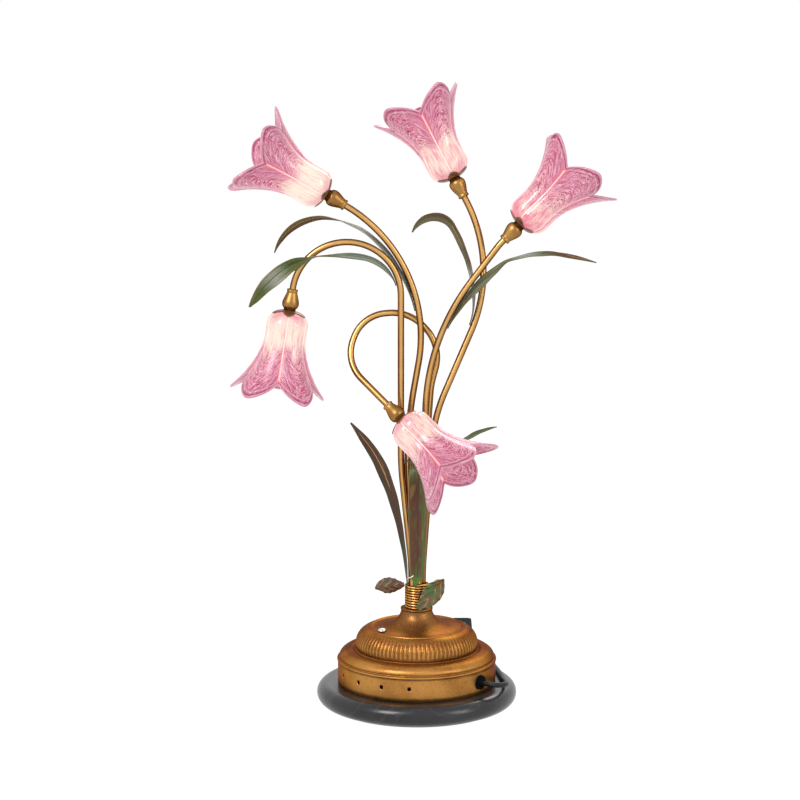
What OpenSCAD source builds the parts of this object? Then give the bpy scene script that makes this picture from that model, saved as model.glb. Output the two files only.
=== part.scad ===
/* [Stone base] */
// Diameter of the black stone disc
stone_d = 200; // [190:1:230]
// Height of the stone's top face above the table
stone_top = 22; // [19:0.5:28]
// Thickness of the felt pad under the stone
felt_t = 1.5; // [1:0.25:3]
// Diameter of the felt pad
felt_d = 176; // [140:1:178]
// Diameter of the recess under the stone that holds the nut
recess_d = 34; // [30:1:50]
// Depth of that recess into the stone
recess_depth = 8; // [7.5:0.25:10]

/* [Metal dome] */
// Outer diameter of the drilled skirt
skirt_d = 158; // [154:1:164]
// Height of the skirt above the stone
skirt_h = 24; // [22:0.5:27]
// Thickness of the spun sheet
sheet_t = 1.2; // [0.8:0.1:1.6]
// Height of the plain roll above the skirt
roll_h = 8; // [7:0.5:9]
// Radial width of the plain roll
roll_w = 13.5; // [12:0.5:15]
// Outer radius of the fluted band
band_r = 61; // [59:0.5:62]
// Height of the fluted band
band_h = 15.5; // [14:0.5:17]
// Radial width of the fluted band
band_w = 15; // [13:0.5:16]
// Number of flutes round the band
flutes = 66; // [48:6:84]
// Diameter of the round cutter that makes a flute
flute_d = 2.4; // [1.6:0.1:2.6]
// Depth of a flute below the band's surface
flute_depth = 0.6; // [0.4:0.1:0.7]
// Radius of the neck at the top of the dome
neck_r = 15.5; // [14.5:0.5:17]
// Height of the concave flare under the neck
flare_h = 18.5; // [16:0.5:22]
// Number of vent holes in each of the two rows
vents = 4; // [2:1:5]
// Diameter of a vent hole
vent_d = 3.7; // [2.5:0.1:5]
// Angle between two vent holes
vent_step = 20.5; // [16:0.5:22]
// Height of the vent holes above the stone
vent_z = 13; // [9:0.5:16]

/* [Transformer and fastening] */
// Distance of the two shoulder screws from the axis
screw_pitch_r = 40; // [38:0.5:42]
// Angle of the front shoulder screw, from the front towards the right
screw_az = -59; // [-90:1:-30]
// Angle of the back shoulder screw, which the neck hides from the front
screw_back_az = 180; // [150:1:210]
// Thread diameter of the shoulder screws
screw_d = 4; // [3:0.5:5]
// Outer diameter of the ring transformer
ring_d = 70; // [60:1:70]
// Height of the ring transformer
ring_h = 30; // [20:1:34]
// Thickness of the transformer's strap
strap_t = 2; // [1.5:0.25:3]
// Width of the transformer's strap
strap_w = 14; // [12:0.5:20]
// Diameter of the central tie rod
rod_d = 4; // [3:0.5:4.5]
// Width across the flats of the tie nut
nut_af = 8; // [7:0.5:10]
// Height of the tie nut
nut_h = 3.6; // [3:0.2:4.5]
// Diameter of the flange on the tie nut
nut_flange_d = 24; // [18:1:28]
// Thickness of that flange
nut_flange_t = 1.4; // [1:0.2:2]

/* [Stems] */
// Outer diameter of the stem tubes
tube_d = 6.4; // [5.8:0.1:6.5]
// Wall of the stem tubes
tube_wall = 0.8; // [0.6:0.1:1.2]
// Radius of the circle that the five stems stand on
ring_r = 6; // [5.9:0.1:6.1]
// Diameter of the turned socket that holds the stems
socket_d = 19.4; // [19:0.1:19.6]
// Height of that socket above the neck
socket_h = 16; // [12:0.5:20]
// Thickness of the socket's floor
socket_floor = 1.5; // [1:0.25:3]
// Diameter of the brass winding wire
wire_d = 2.1; // [1.6:0.1:2.1]
// Rise of the winding in one turn
wire_pitch = 2.6; // [2.6:0.1:3]
// Number of turns of the winding
wire_turns = 9; // [6:1:10]

/* [Flower heads] */
// Length of the turned cup
cup_l = 17.5; // [15:0.5:20]
// Largest diameter of the cup
cup_d = 16.4; // [14:0.2:18]
// Diameter of the cup at the stem
cup_mouth_d = 9.4; // [8.6:0.2:11]
// Diameter of the cup's neck
cup_neck_d = 8; // [7.6:0.2:9]
// Length of the cup's neck
cup_neck_l = 3; // [2:0.25:4]
// Depth of the stem's seat in the cup
cup_seat = 7; // [5:0.5:9]
// Thickness of the sepal plate
sepal_t = 0.6; // [0.5:0.1:1]
// Radius at the tips of the sepals
sepal_r = 16.5; // [13:0.5:18]
// Width of one sepal
sepal_w = 12; // [9:0.5:13]
// Number of sepals on a plate
sepals = 5; // [4:1:6]
// Length of the glass shade along its axis
shade_l = 85; // [78:1:94]
// Diameter of the shade's round body
shade_d = 42; // [39:0.5:44]
// Diameter across the petal tips
mouth_d = 98; // [88:1:106]
// Thickness of the glass
glass_t = 2.4; // [2:0.1:3]
// Height of the rounded foot of the shade
foot_h = 14; // [11:0.5:17]
// Height at which the shade begins to flare
flare_from = 28; // [22:1:34]
// Height of the notches between the petals
notch_z = 69; // [62:1:74]
// Depth of the creases between the petals
crease = 1.6; // [0.8:0.1:2]
// Number of petals on a shade
petals = 5; // [4:1:6]
// Diameter of the lamp holder's threaded neck
nipple_d = 6; // [5:0.2:6.4]
// Diameter of the ceramic lamp holder
holder_d = 12; // [10:0.5:14]
// Height of the ceramic lamp holder
holder_h = 13; // [10:0.5:16]
// Diameter of the capsule bulb
bulb_d = 9.2; // [7:0.2:10]
// Length of the capsule bulb's glass
bulb_l = 24; // [18:1:28]

/* [Leaves] */
// Thickness of the sheet-metal leaves
leaf_t = 0.6; // [0.5:0.1:0.6]
// Width of a leaf's foot
leaf_foot_w = 4; // [3:0.5:5]
// Height of the folded midrib, as a share of a leaf's half width
leaf_fold = 0.22; // [0.1:0.02:0.3]
// Thickness of the two cast leaves
cast_t = 1.6; // [1.2:0.1:2]

/* [Mains cord] */
// Diameter of the mains cord
cord_d = 5; // [5:0.1:5]
// Diameter of the bush's flange
bush_d = 14; // [12:0.5:18]
// Diameter of the bush's hole in the skirt
bush_hole_d = 10.6; // [9:0.2:12]
// Length of the bush inside the skirt
bush_inside = 17; // [14:0.5:22]
// Length of the bush's nose outside its flange
bush_nose = 3; // [2:0.5:6]
// Angle of the bush, from the front towards the right
bush_az = 52; // [45:1:60]
// Height of the bush above the stone
bush_z = 12; // [10:0.5:14]
// Length of the cord switch
switch_l = 58; // [52:1:64]
// Width of the cord switch
switch_w = 22; // [20:0.5:26]
// Height of the cord switch
switch_h = 16; // [15:0.5:18]
// Wall of the cord switch
switch_wall = 1.8; // [1.4:0.1:2.2]
// Length of the rocker
rocker_l = 16; // [14:0.5:18]
// Width of the rocker
rocker_w = 9; // [8:0.5:10]
// Swing of the rocker from one end to the other, in degrees
rocker_swing = 16; // [10:1:20]
// Diameter of the rocker's pivot
pivot_d = 2.6; // [2:0.1:3]
// Length of the plug's body
plug_l = 36; // [32:1:40]
// Width of the plug's body
plug_w = 35; // [33:1:38]
// Height of the plug's body
plug_h = 14; // [13:0.5:16]
// Diameter of a plug pin
pin_d = 4; // [4:0.1:4.8]
// Length of a plug pin
pin_l = 19; // [17:0.5:20]
// Distance between the plug pins
pin_pitch = 18.6; // [17:0.2:19]

/* [Fits] */
// Radial gap of pieces that slide into each other
fit = 0.1; // [0.05:0.01:0.15]
// Gap between faces that are only laid together
seat = 0.1; // [0.05:0.01:0.2]
// Radial gap of the rocker's pivot
pivot_fit = 0.08; // [0.04:0.01:0.1]

/* [Hidden] */

$fn = 48;
// Heights up the middle of the base
roll_z = stone_top + skirt_h + 2.6;
band_z = roll_z + roll_h + 5.4;
shoulder_z = band_z + band_h;
neck_z = shoulder_z + flare_h;
neck_lip = 1.5;
neck_top = neck_z + neck_lip;
stem_foot = neck_top + socket_floor;
skirt_r = skirt_d / 2;
bore_d = tube_d - 2 * tube_wall;
stone_t = stone_top - felt_t;
recess_top = felt_t + recess_depth;

// Points on an ellipse from angle a0 to a1, about the centre c
function arc(c, rx, rz, a0, a1, n) =
  [for (i = [0:n]) let (a = a0 + (a1 - a0) * i / n) [c.x + rx * cos(a), c.y + rz * sin(a)]];

// Placing frames, as 4 by 4 matrices
function shift(v) = [[1, 0, 0, v.x], [0, 1, 0, v.y], [0, 0, 1, v.z], [0, 0, 0, 1]];
function spin_x(a) = [[1, 0, 0, 0], [0, cos(a), -sin(a), 0], [0, sin(a), cos(a), 0], [0, 0, 0, 1]];
function spin_y(a) = [[cos(a), 0, sin(a), 0], [0, 1, 0, 0], [-sin(a), 0, cos(a), 0], [0, 0, 0, 1]];
function spin_z(a) = [[cos(a), -sin(a), 0, 0], [sin(a), cos(a), 0, 0], [0, 0, 1, 0], [0, 0, 0, 1]];
function place(frame, p) = [for (r = [0:2]) frame[r] * [p.x, p.y, p.z, 1]];

// A stem is bent like a tube on a bender: [feed, direction of the bend, radius, angle] for each step.
// Direction 0 bends to the right, 90 away from the viewer, 180 to the left.
function bent(step, angle) =
  spin_z(step[1]) * shift([step[2] * (1 - cos(angle)), 0, step[2] * sin(angle)]) * spin_y(angle)
    * spin_z(-step[1]);
function frames(start, steps, i = 0) =
  i == len(steps) ? [start]
  : concat([start], frames(start * shift([0, 0, steps[i][0]]) * bent(steps[i], steps[i][3]), steps, i + 1));
function bend_length(step) = step[2] * step[3] * PI / 180;
// Frame at a distance s along the stem
function along(start, steps, s, i = 0) =
  i == len(steps) || s <= steps[i][0] ? start * shift([0, 0, s])
  : s - steps[i][0] <= bend_length(steps[i])
    ? start * shift([0, 0, steps[i][0]]) * bent(steps[i], (s - steps[i][0]) * 180 / PI / steps[i][2])
  : along(start * shift([0, 0, steps[i][0]]) * bent(steps[i], steps[i][3]), steps,
      s - steps[i][0] - bend_length(steps[i]), i + 1);

// The five stems a to e: angle of the foot in the socket, and the bends
stem_az = [-119, 97, 25, -47, 169];
foot_feed = wire_turns * wire_pitch + 3.6;
stem_steps = [
  [[foot_feed, 180, 300, 2], [98, 0, 400, 12], [26, 183, 150, 69], [1, 0, 1, 0]],
  [[foot_feed, 0, 300, 4], [116, 16, 150, 20], [66, 172, 150, 51], [4, 0, 1, 0]],
  [[foot_feed, 0, 300, 2], [164, -4, 220, 35], [42, 40, 40, 12], [1, 0, 1, 0]],
  [[foot_feed, 180, 150, 6], [85, 0, 300, 6], [153, 184, 53, 171], [1, 0, 1, 0]],
  [[foot_feed, 0, 300, 4], [70, 92, 300, 3], [80, 0, 80, 11], [10, 180, 42, 60], [3, 180, 42, 50],
    [3, 196, 36, 65], [3, 202, 38, 64], [37, 0, 1, 0]]];
function stem_start(i) = shift([ring_r * sin(stem_az[i]), -ring_r * cos(stem_az[i]), stem_foot]);
function stem_frames(i) = frames(stem_start(i), stem_steps[i]);
// Frame of a flower head: on the stem's end, turned so that the petals stand as on the real one
head_turn = [52, 49, 35, 60, 16];
function head_frame(i) = stem_frames(i)[len(stem_steps[i])] * spin_z(head_turn[i]);

// A leaf starts on a frame and follows runs of [length, curl away from the stem, lean, turn of the blade]
leaf_rings = 15;
function leaf_total(runs, i = 0) = i == len(runs) ? 0 : runs[i][0] + leaf_total(runs, i + 1);
function leaf_run(runs, s, i = 0) =
  i == len(runs) - 1 || s < runs[i][0] ? runs[i] : leaf_run(runs, s - runs[i][0], i + 1);
function leaf_turn(runs, s, i = 0) =
  i == len(runs) ? 0 : min(1, s / runs[i][0]) * runs[i][3]
    + (s > runs[i][0] ? leaf_turn(runs, s - runs[i][0], i + 1) : 0);
function leaf_frames(start, runs, ds, i = 0) =
  i == leaf_rings ? [start]
  : let (r = leaf_run(runs, (i + 0.5) * ds), k = ds / r[0])
    concat([start], leaf_frames(start * spin_x(r[2] * k / 2) * spin_y(r[1] * k / 2)
      * shift([0, 0, ds]) * spin_y(r[1] * k / 2) * spin_x(r[2] * k / 2), runs, ds, i + 1));

// Each leaf on a stem: [stem, distance along it, side, width, where it is widest, runs]
stem_leaves = [
  [0, 298, 180, 14, 0.72, [[20, 10, 0, 0], [60, 26, 0, 20], [45, 34, 0, 35], [30, 28, 0, 10], [45, 55, 0, -10]]],
  [1, 288, 180, 13, 0.62, [[27, 22, 0, 10], [49, 18, 0, 30], [27, 10, 0, 20], [22, 66, 0, 10], [27, 58, 0, 0]]],
  [2, 284, 0, 15, 0.4, [[19, 10, 4, 20], [43, 17, 4, 30], [38, 13, 0, 30], [38, 36, 0, -50], [38, 8, 0, 30]]],
  [3, 323, 180, 21, 0.7, [[14, 26, -10, 0], [33, 41, -8, 20], [43, 16, 2, 40], [43, 33, 6, 10], [47, 24, 4, -20]]],
  [4, 127, 0, 11, 0.6, [[11, 25, 0, 0], [22, 19, 0, 0], [31, 14, 0, 30], [27, 19, 0, 20]]]];
function leaf_start(l) =
  along(stem_start(l[0]), stem_steps[l[0]], l[1]) * spin_z(l[2]) * shift([tube_d / 2 + leaf_t / 2 + seat, 0, 0]);

// The two tall leaves start inside the winding, against the stems: [angle, width, runs]
foot_leaf_r = ring_r + 2.9;
tall_leaves = [
  [-86, 19, 0.68, [[20, 3, 0, 0], [55, 9, 0, 40], [50, 11, 0, 30], [30, 12, 0, 0], [30, 5, 0, 0]]],
  [-8, 21, 0.7, [[25, 3, 0, 0], [90, 3, 0, 5], [16, -50, 0, -25], [14, -50, 0, 0]]]];
function tall_start(l) = spin_z(l[0] - 90) * shift([foot_leaf_r, 0, neck_top + socket_h + seat]);

// The two cast leaves stand at the winding: [angle, height, width, runs, first turns about x, y and z]
winding_r = socket_d / 2 + 0.2 + wire_d;

// The cord's free route from the bush, then from the switch, then from the coil, chosen by hand
bush_out = [sin(bush_az), -cos(bush_az), 0];
bush_end = bush_out * (skirt_r + 2 + bush_nose) + [0, 0, stone_top + bush_z];
cord_r = cord_d / 2;
switch_at = [50, 243];
run_lamp = [bush_end + bush_out * 3, [72.2, -56.1, 33.9], [76.6, -57.5, 33.8], [81.1, -57, 33.5], [84.9, -54.5, 33.1],
  [87.3, -50.5, 32.5], [88.3, -45.5, 31.8], [88.3, -35, 30.2], [87.9, -21, 27.7], [86.5, -4, 25.2], [84.3, 15, 24.8],
  [81.2, 33, 24.8], [77, 50, 25.1], [72, 66, 22.3], [67, 84, 12.5], [63, 100, 5], [60, 118, 2.6], [58, 138, 2.5],
  [56, 158, 2.6], [53, 178, 3.5], [51, 194, 6], [50, switch_at.y - switch_l / 2 - 6, 7.5]];
run_coil = [[50, switch_at.y + switch_l / 2 + 6, 7.5], [48, 290, 5], [40, 302, 3], [25, 310, 2.5],
  [7, 309, 2.5], [-11, 300, 2.5], [-25, 286, 2.5], [-34, 268, 2.5], [-39, 249, 2.5]];
coil_at = [-15, 207];
coil_pitch = cord_d + 0.5;
coil_turns = 3.5;
coil_mid_r = 29.5;
coil_from = 150;
run_plug = [[-59, 206, 6.5], [-62, 189, 3.5], [-60, 170, 2.6], [-51, 154, 3.5]];
plug_at = [-16, 141];
plug_neck = 20;

// The coil's middle line: inwards on the table, up a layer where it turns back, outwards on top
coil_steps = 24;
function coil_point(t) =
  let (r = coil_mid_r + coil_pitch * (abs(t - coil_turns) - coil_turns / 2),
    a = coil_from + 360 * t, climb = min(1, max(0, (t - coil_turns + 0.25) / 0.5)))
  [coil_at.x + r * cos(a), coil_at.y + r * sin(a), cord_r + coil_pitch * climb];
coil_line = [for (i = [0:2 * coil_turns * coil_steps]) coil_point(i / coil_steps)];
coil_dir = [-sin(coil_from), cos(coil_from), 0];
coil_in = coil_line[0] - coil_dir * cord_d;
coil_exit = coil_line[len(coil_line) - 1] + coil_dir * cord_d;

// The winding's middle line round the stems
wind_r = socket_d / 2 + 0.2 + wire_d / 2;
wind_steps = 24;
function wind_point(t) = [wind_r * cos(360 * t - 90), wind_r * sin(360 * t - 90),
  neck_top + wire_d / 2 + seat + wire_pitch * t];
wind_line = [for (i = [0:wire_turns * wind_steps]) wind_point(i / wind_steps)];

// Least distance between the surfaces of two turns of the same tube, measured on its points
function turn_gap(line, steps, d) =
  min([for (i = [0:3:len(line) - 1]) for (j = [i + steps / 2:1:len(line) - 1]) norm(line[i] - line[j]) - d]);
echo(winding_gap = turn_gap(wind_line, wind_steps, wire_d), coil_gap = turn_gap(coil_line, coil_steps, cord_d));

// A smooth line through hand-set points
function curve_point(a, b, c, d, t) =
  0.5 * ((2 * b) + (c - a) * t + (2 * a - 5 * b + 4 * c - d) * t * t + (3 * b - a - 3 * c + d) * t * t * t);
function smooth(p, n) = concat(
  [for (i = [0:len(p) - 2], k = [0:n - 1])
    curve_point(p[max(i - 1, 0)], p[i], p[i + 1], p[min(i + 2, len(p) - 1)], k / n)],
  [p[len(p) - 1]]);
function line_length(p) = len(p) < 2 ? 0 : sum_lengths(p, 0);
function sum_lengths(p, i) = i == len(p) - 1 ? 0 : norm(p[i + 1] - p[i]) + sum_lengths(p, i + 1);
function unit(v) = v / norm(v);
function heading(p, i) = unit(p[min(i + 1, len(p) - 1)] - p[max(i - 1, 0)]);
// Rings of a round tube along a line that is never upright
function tube_ring(p, i, r, sides, first, last) =
  let (t = i == 0 && first ? unit(p[1] - p[0]) : i == len(p) - 1 && last ? unit(p[i] - p[i - 1]) : heading(p, i),
    u = unit(cross(t, [0, 0, 1])), w = cross(u, t))
  [for (k = [0:sides - 1]) p[i] + r * (u * cos(360 * (k + 0.5) / sides) + w * sin(360 * (k + 0.5) / sides))];
function wall_faces(rings, sides) = concat(
  [for (i = [0:rings - 2], k = [0:sides - 1]) [i * sides + k, i * sides + (k + 1) % sides,
    (i + 1) * sides + (k + 1) % sides]],
  [for (i = [0:rings - 2], k = [0:sides - 1]) [i * sides + k, (i + 1) * sides + (k + 1) % sides,
    (i + 1) * sides + k]]);
function tube_faces(rings, sides) = concat(
  [[for (k = [0:sides - 1]) sides - 1 - k]],
  wall_faces(rings, sides),
  [[for (k = [0:sides - 1]) (rings - 1) * sides + k]]);
module round_tube(p, d, sides) {
  points = [for (i = [0:len(p) - 1]) each tube_ring(p, i, d / 2, sides, true, true)];
  polyhedron(points = points, faces = tube_faces(len(p), sides), convexity = 10);
}

// Places children at an angle from the front, with their x axis pointing outwards
module at_azimuth(az) {
  rotate([0, 0, az - 90])
    children();
}

module felt_pad() {
  color("dimgray")
    cylinder(h = felt_t, d = felt_d);
}

module stone_base() {
  color([0.2, 0.2, 0.22])
    difference() {
      translate([0, 0, felt_t])
        rotate_extrude() {
          square([stone_d / 2 - stone_t / 2, stone_t]);
          translate([stone_d / 2 - stone_t / 2, stone_t / 2])
            circle(d = stone_t);
        }
      translate([0, 0, felt_t - 1])
        cylinder(h = recess_depth + 1, d = recess_d);
      cylinder(h = stone_top + 1, d = rod_d + 1.4);
    }
}

// Half profile of the spun dome, drawn inwards by o
function dome_profile(o) = concat(
  [[skirt_r - o, stone_top]],
  bead_profile(o),
  arc([skirt_r - 1.5 - roll_w, roll_z], roll_w - o, roll_h - o, 0, 84, 10),
  step_profile(o),
  arc([band_r - band_w, band_z], band_w - o, band_h - o, -24, 84, 14),
  o > 0 ? [] : [[band_r - band_w + 1.6, shoulder_z + 0.6], [band_r - band_w + 0.8, shoulder_z + 1.1],
    [band_r - band_w + 0.1, shoulder_z + 0.6]],
  arc([band_r - band_w - 0.5, neck_z], neck_flare_w + o, flare_h + o, -92, -180, 14));
neck_flare_w = band_r - band_w - 0.5 - neck_r;
// Bead and groove over the skirt; inside, the sheet steps in with them
function bead_profile(o) = let (z = stone_top + skirt_h) o > 0
  ? [[skirt_r - o, z - 1.2], [skirt_r - 2 - o, z - 0.2], [skirt_r - 2.2 - o, z + 1.8]]
  : concat([[skirt_r, z - 1.2]], arc([skirt_r - 0.2, z - 0.2], 0.9, 1, -60, 90, 5),
  [[skirt_r - 1.9, z + 1.1], [skirt_r - 2.2, z + 1.8]]);
// Step and groove between the roll and the fluted band; inside, the sheet dips with them
function step_profile(o) = let (r = skirt_r - 1.5 - roll_w, z = roll_z + roll_h, b = band_r - band_w + band_w * cos(24))
  o > 0 ? [[r - 0.2, z - 1.1 - o], [b - 0.3, z - 0.8 - o]]
  : [[r + 0.4, z + 0.1], [r - 0.6, z - 0.8], [r - 1.8, z - 1], [b + 0.2, z - 0.6]];

module base_dome() {
  color([0.72, 0.5, 0.22])
    difference() {
      rotate_extrude($fn = 96) {
        polygon(concat(dome_profile(0), [[neck_r + 0.5, neck_z], [neck_r + 0.5, neck_top],
          [0.01, neck_top], [0.01, stone_top]]));
      }
      rotate_extrude($fn = 96)
        polygon(concat([[skirt_r - sheet_t, stone_top - 1]], dome_profile(sheet_t),
          [[neck_r - sheet_t, neck_top - sheet_t], [0, neck_top - sheet_t], [0, stone_top - 1]]));
      translate([0, 0, neck_top - 5])
        cylinder(h = 10, d = socket_spigot_d + 2 * fit);
      for (k = [1:flutes])
        rotate([0, 0, k * 360 / flutes])
          flute_cutter();
      for (k = [0:vents - 1], side = [0, 180])
        at_azimuth(-5.3 - k * vent_step + side)
          translate([skirt_r - 5, 0, stone_top + vent_z])
            rotate([0, 90, 0])
              cylinder(h = 10, d = vent_d, $fn = 24);
      at_azimuth(bush_az)
        translate([skirt_r - 5, 0, stone_top + bush_z])
          rotate([0, 90, 0])
            cylinder(h = 10, d = bush_hole_d);
      for (az = [screw_az, screw_back_az])
        at_azimuth(az)
          translate([screw_pitch_r, 0, shoulder_z - 5])
            cylinder(h = 12, d = screw_d + 0.4, $fn = 24);
    }
}

// One flute: a slender ring segment that follows the band's face in one upright plane
module flute_cutter() {
  bend_r = (band_w + band_h) / 2 + flute_d / 2 - flute_depth;
  translate([band_r - band_w, 0, band_z])
    rotate([90, 0, 0])
      rotate_extrude(angle = 66, start = -12, $fn = 64)
        translate([bend_r, 0])
          circle(d = flute_d, $fn = 16);
}

// Height of the dome's outer and inner shoulder at a radius r
function shoulder_at(r, o) =
  neck_z - (flare_h + o) * sqrt(1 - pow((band_r - band_w - 0.5 - r) / (neck_flare_w + o), 2));
// Height of the band's inner face at a radius r, and the strap's top face under it
function band_roof(r) =
  band_z + (band_h - sheet_t) * sqrt(1 - pow(max(0, r - band_r + band_w) / (band_w - sheet_t), 2));
strap_reach = screw_pitch_r + 6;
strap_top = min(neck_z - flare_h - sheet_t, band_roof(norm([strap_reach, strap_w / 2]))) - seat;

// Ring transformer with a potted centre that the tie rod passes through
ring_hole_r = 14;
potting_h = 22;
ring_z = strap_top - strap_t - seat - ring_h;
module transformer() {
  color([0.75, 0.72, 0.6])
    difference() {
      union() {
        translate([0, 0, ring_z])
          rotate_extrude()
            translate([ring_d / 4 + ring_hole_r / 2, ring_h / 2])
              rounded_box_2d(ring_d / 2 - ring_hole_r, ring_h, 5);
        translate([0, 0, ring_z + ring_h - potting_h - 3])
          cylinder(h = potting_h, r = ring_hole_r + 2);
      }
      translate([0, 0, ring_z - 1])
        cylinder(h = ring_h + 2, d = rod_d + 0.6);
    }
}

// Rectangle with round corners, centred, from plain squares and circles
module rounded_box_2d(w, h, r) {
  square([w - 2 * r, h], center = true);
  square([w, h - 2 * r], center = true);
  for (x = [-1, 1], y = [-1, 1])
    translate([x * (w / 2 - r), y * (h / 2 - r)])
      circle(r = r);
}

module transformer_strap() {
  color("silver")
    difference() {
      union() {
        translate([0, 0, strap_top - strap_t])
          cylinder(h = strap_t, d = 1.6 * strap_w);
        for (az = [screw_az, screw_back_az])
          at_azimuth(az)
            translate([0, -strap_w / 2, strap_top - strap_t])
              cube([strap_reach, strap_w, strap_t]);
      }
      translate([0, 0, strap_top - strap_t - 1])
        cylinder(h = strap_t + 2, d = rod_d + 0.6, $fn = 24);
      for (az = [screw_az, screw_back_az])
        at_azimuth(az)
          translate([screw_pitch_r, 0, strap_top - strap_t - 1])
            cylinder(h = strap_t + 2, d = screw_d + 2 * fit, $fn = 24);
    }
}

module shoulder_screws() {
  color([0.85, 0.85, 0.82])
    for (az = [screw_az, screw_back_az])
      at_azimuth(az)
        translate([screw_pitch_r, 0, 0])
          shoulder_screw();
}

module shoulder_screw() {
  top = shoulder_at(screw_pitch_r - 4.4, 0) + 0.3;
  translate([0, 0, strap_top - strap_t - seat - 3])
    cylinder(h = top - strap_top + strap_t + seat + 3.2, d = screw_d, $fn = 24);
  translate([0, 0, top])
    rotate_extrude($fn = 32)
      polygon(concat([[0, 0], [4.2, 0]], arc([0, 0], 4.2, 2.2, 10, 90, 6)));
  translate([0, 0, strap_top - strap_t - seat - 3.2])
    difference() {
      cylinder(h = 3.2, d = 8.1, $fn = 6);
      translate([0, 0, -1])
        cylinder(h = 5, d = screw_d - 0.4, $fn = 24);
    }
}

module tie_rod() {
  color("silver")
    translate([0, 0, recess_top - nut_flange_t - nut_h - 1.2])
      cylinder(h = neck_top + socket_h - 2 - (recess_top - nut_flange_t - nut_h - 1.2), d = rod_d);
}

// Two flanged nuts: one in the stone's recess, one under the transformer's potted centre
module tie_nuts() {
  color("silver")
    for (top = [recess_top, ring_z + ring_h - potting_h - 3])
      translate([0, 0, top])
        flanged_nut();
}
module flanged_nut() {
  difference() {
    union() {
      translate([0, 0, -nut_flange_t])
        cylinder(h = nut_flange_t, d = nut_flange_d);
      translate([0, 0, -nut_flange_t - nut_h])
        cylinder(h = nut_h + 0.1, d = nut_af / cos(30), $fn = 6);
    }
    translate([0, 0, -nut_flange_t - nut_h - 1])
      cylinder(h = nut_flange_t + nut_h + 2, d = rod_d + 2 * pivot_fit);
  }
}

// Terminal block on the stone, with the lead that comes in through the bush
block_at = [-58, 25];
module wiring_block() {
  color("ivory")
    translate([block_at.x, block_at.y, stone_top]) {
      difference() {
        translate([-8, -15, 0])
          cube([16, 30, 12]);
        for (y = [-10, -3.4, 3.4, 10])
          translate([0, y, 4]) {
            cylinder(h = 10, d = 3.4, $fn = 24);
            translate([-9, 0, 1])
              rotate([0, 90, 0])
                cylinder(h = 18, d = 3, $fn = 24);
          }
      }
    }
}

socket_spigot_d = 15;
module stem_socket() {
  color([0.72, 0.5, 0.22])
    difference() {
      union() {
        translate([0, 0, neck_top])
          cylinder(h = socket_h, d = socket_d);
        translate([0, 0, neck_top - sheet_t - 0.8])
          cylinder(h = sheet_t + 1, d = socket_spigot_d);
      }
      for (az = stem_az)
        at_azimuth(az)
          translate([ring_r, 0, 0]) {
            translate([0, 0, stem_foot])
              cylinder(h = socket_h + 5, d = tube_d + 2 * fit, $fn = 32);
            translate([0, 0, neck_top - 5])
              cylinder(h = socket_h, d = bore_d, $fn = 24);
          }
      translate([0, 0, neck_top - 5])
        cylinder(h = socket_h + 10, d = rod_d + 2 * pivot_fit, $fn = 24);
    }
}

module wire_winding() {
  // The wire starts and ends with one straight diameter
  first = wind_line[0] - unit([wind_line[1].x - wind_line[0].x, 0, 0]) * wire_d;
  last = wind_line[len(wind_line) - 1];
  line = concat([first], wind_line, [last + [wire_d, 0, 0]]);
  color([0.8, 0.58, 0.25])
    round_tube(line, wire_d, 6);
}

// Straight runs are a hair thinner and reach a little into the bends, so that the runs join cleanly
hair = 0.02;
lap = 0.3;
module tube_run(step, d, first, last) {
  translate([0, 0, first ? 0 : -lap])
    cylinder(h = step[0] + (first ? 0 : lap) + (last ? 0 : lap), d = d - hair, $fn = 32);
  if (step[3] > 0)
    translate([0, 0, step[0]])
      rotate([0, 0, step[1]])
        translate([step[2], 0, 0])
          rotate([90, 0, 0])
            rotate_extrude(angle = step[3], start = 180 - step[3], $fn = 96)
              translate([step[2], 0])
                circle(d = d, $fn = 32);
}

// A stem runs on into its cup by the depth of the seat
module stem_solid(i, d, over) {
  steps = stem_steps[i];
  f = stem_frames(i);
  n = len(steps);
  for (k = [0:n - 1])
    multmatrix(f[k])
      tube_run(k == n - 1 ? [steps[k][0] + cup_seat - seat + over, 0, 1, 0] : steps[k], d, k == 0, k == n - 1);
  if (over > 0)
    multmatrix(f[0] * shift([0, 0, -over]))
      cylinder(h = over + 1, d = d - hair, $fn = 32);
}

module stem(i) {
  color([0.78, 0.55, 0.22])
    difference() {
      stem_solid(i, tube_d, 0);
      stem_solid(i, bore_d, 1);
    }
}

module cup(i) {
  round_z = cup_l - cup_d * 0.3;
  color([0.75, 0.53, 0.24])
    multmatrix(head_frame(i))
      rotate_extrude()
        polygon(concat(
          [[tube_d / 2 + fit, 0], [cup_mouth_d / 2, 0], [cup_mouth_d / 2 + 0.3, 0.5]],
          [[cup_d / 2 - 0.5, round_z - 1.5]],
          arc([cup_neck_d / 2, round_z], cup_d / 2 - cup_neck_d / 2, cup_l - round_z, 0, 90, 8),
          [[cup_neck_d / 2, cup_l + cup_neck_l], [nipple_d / 2 + fit, cup_l + cup_neck_l],
            [nipple_d / 2 + fit, cup_seat + 2], [bore_d / 2, cup_seat + 2], [bore_d / 2, cup_seat],
            [tube_d / 2 + fit, cup_seat]]));
}

// Heights along a flower head, from the cup's mouth
plate_z = cup_l + cup_neck_l;
shade_z = plate_z + sepal_t + seat;
holder_z = shade_z + glass_t + 0.21 * (holder_d / 2 - nipple_d / 2) + seat;
bulb_z = holder_z + holder_h + seat;

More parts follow.
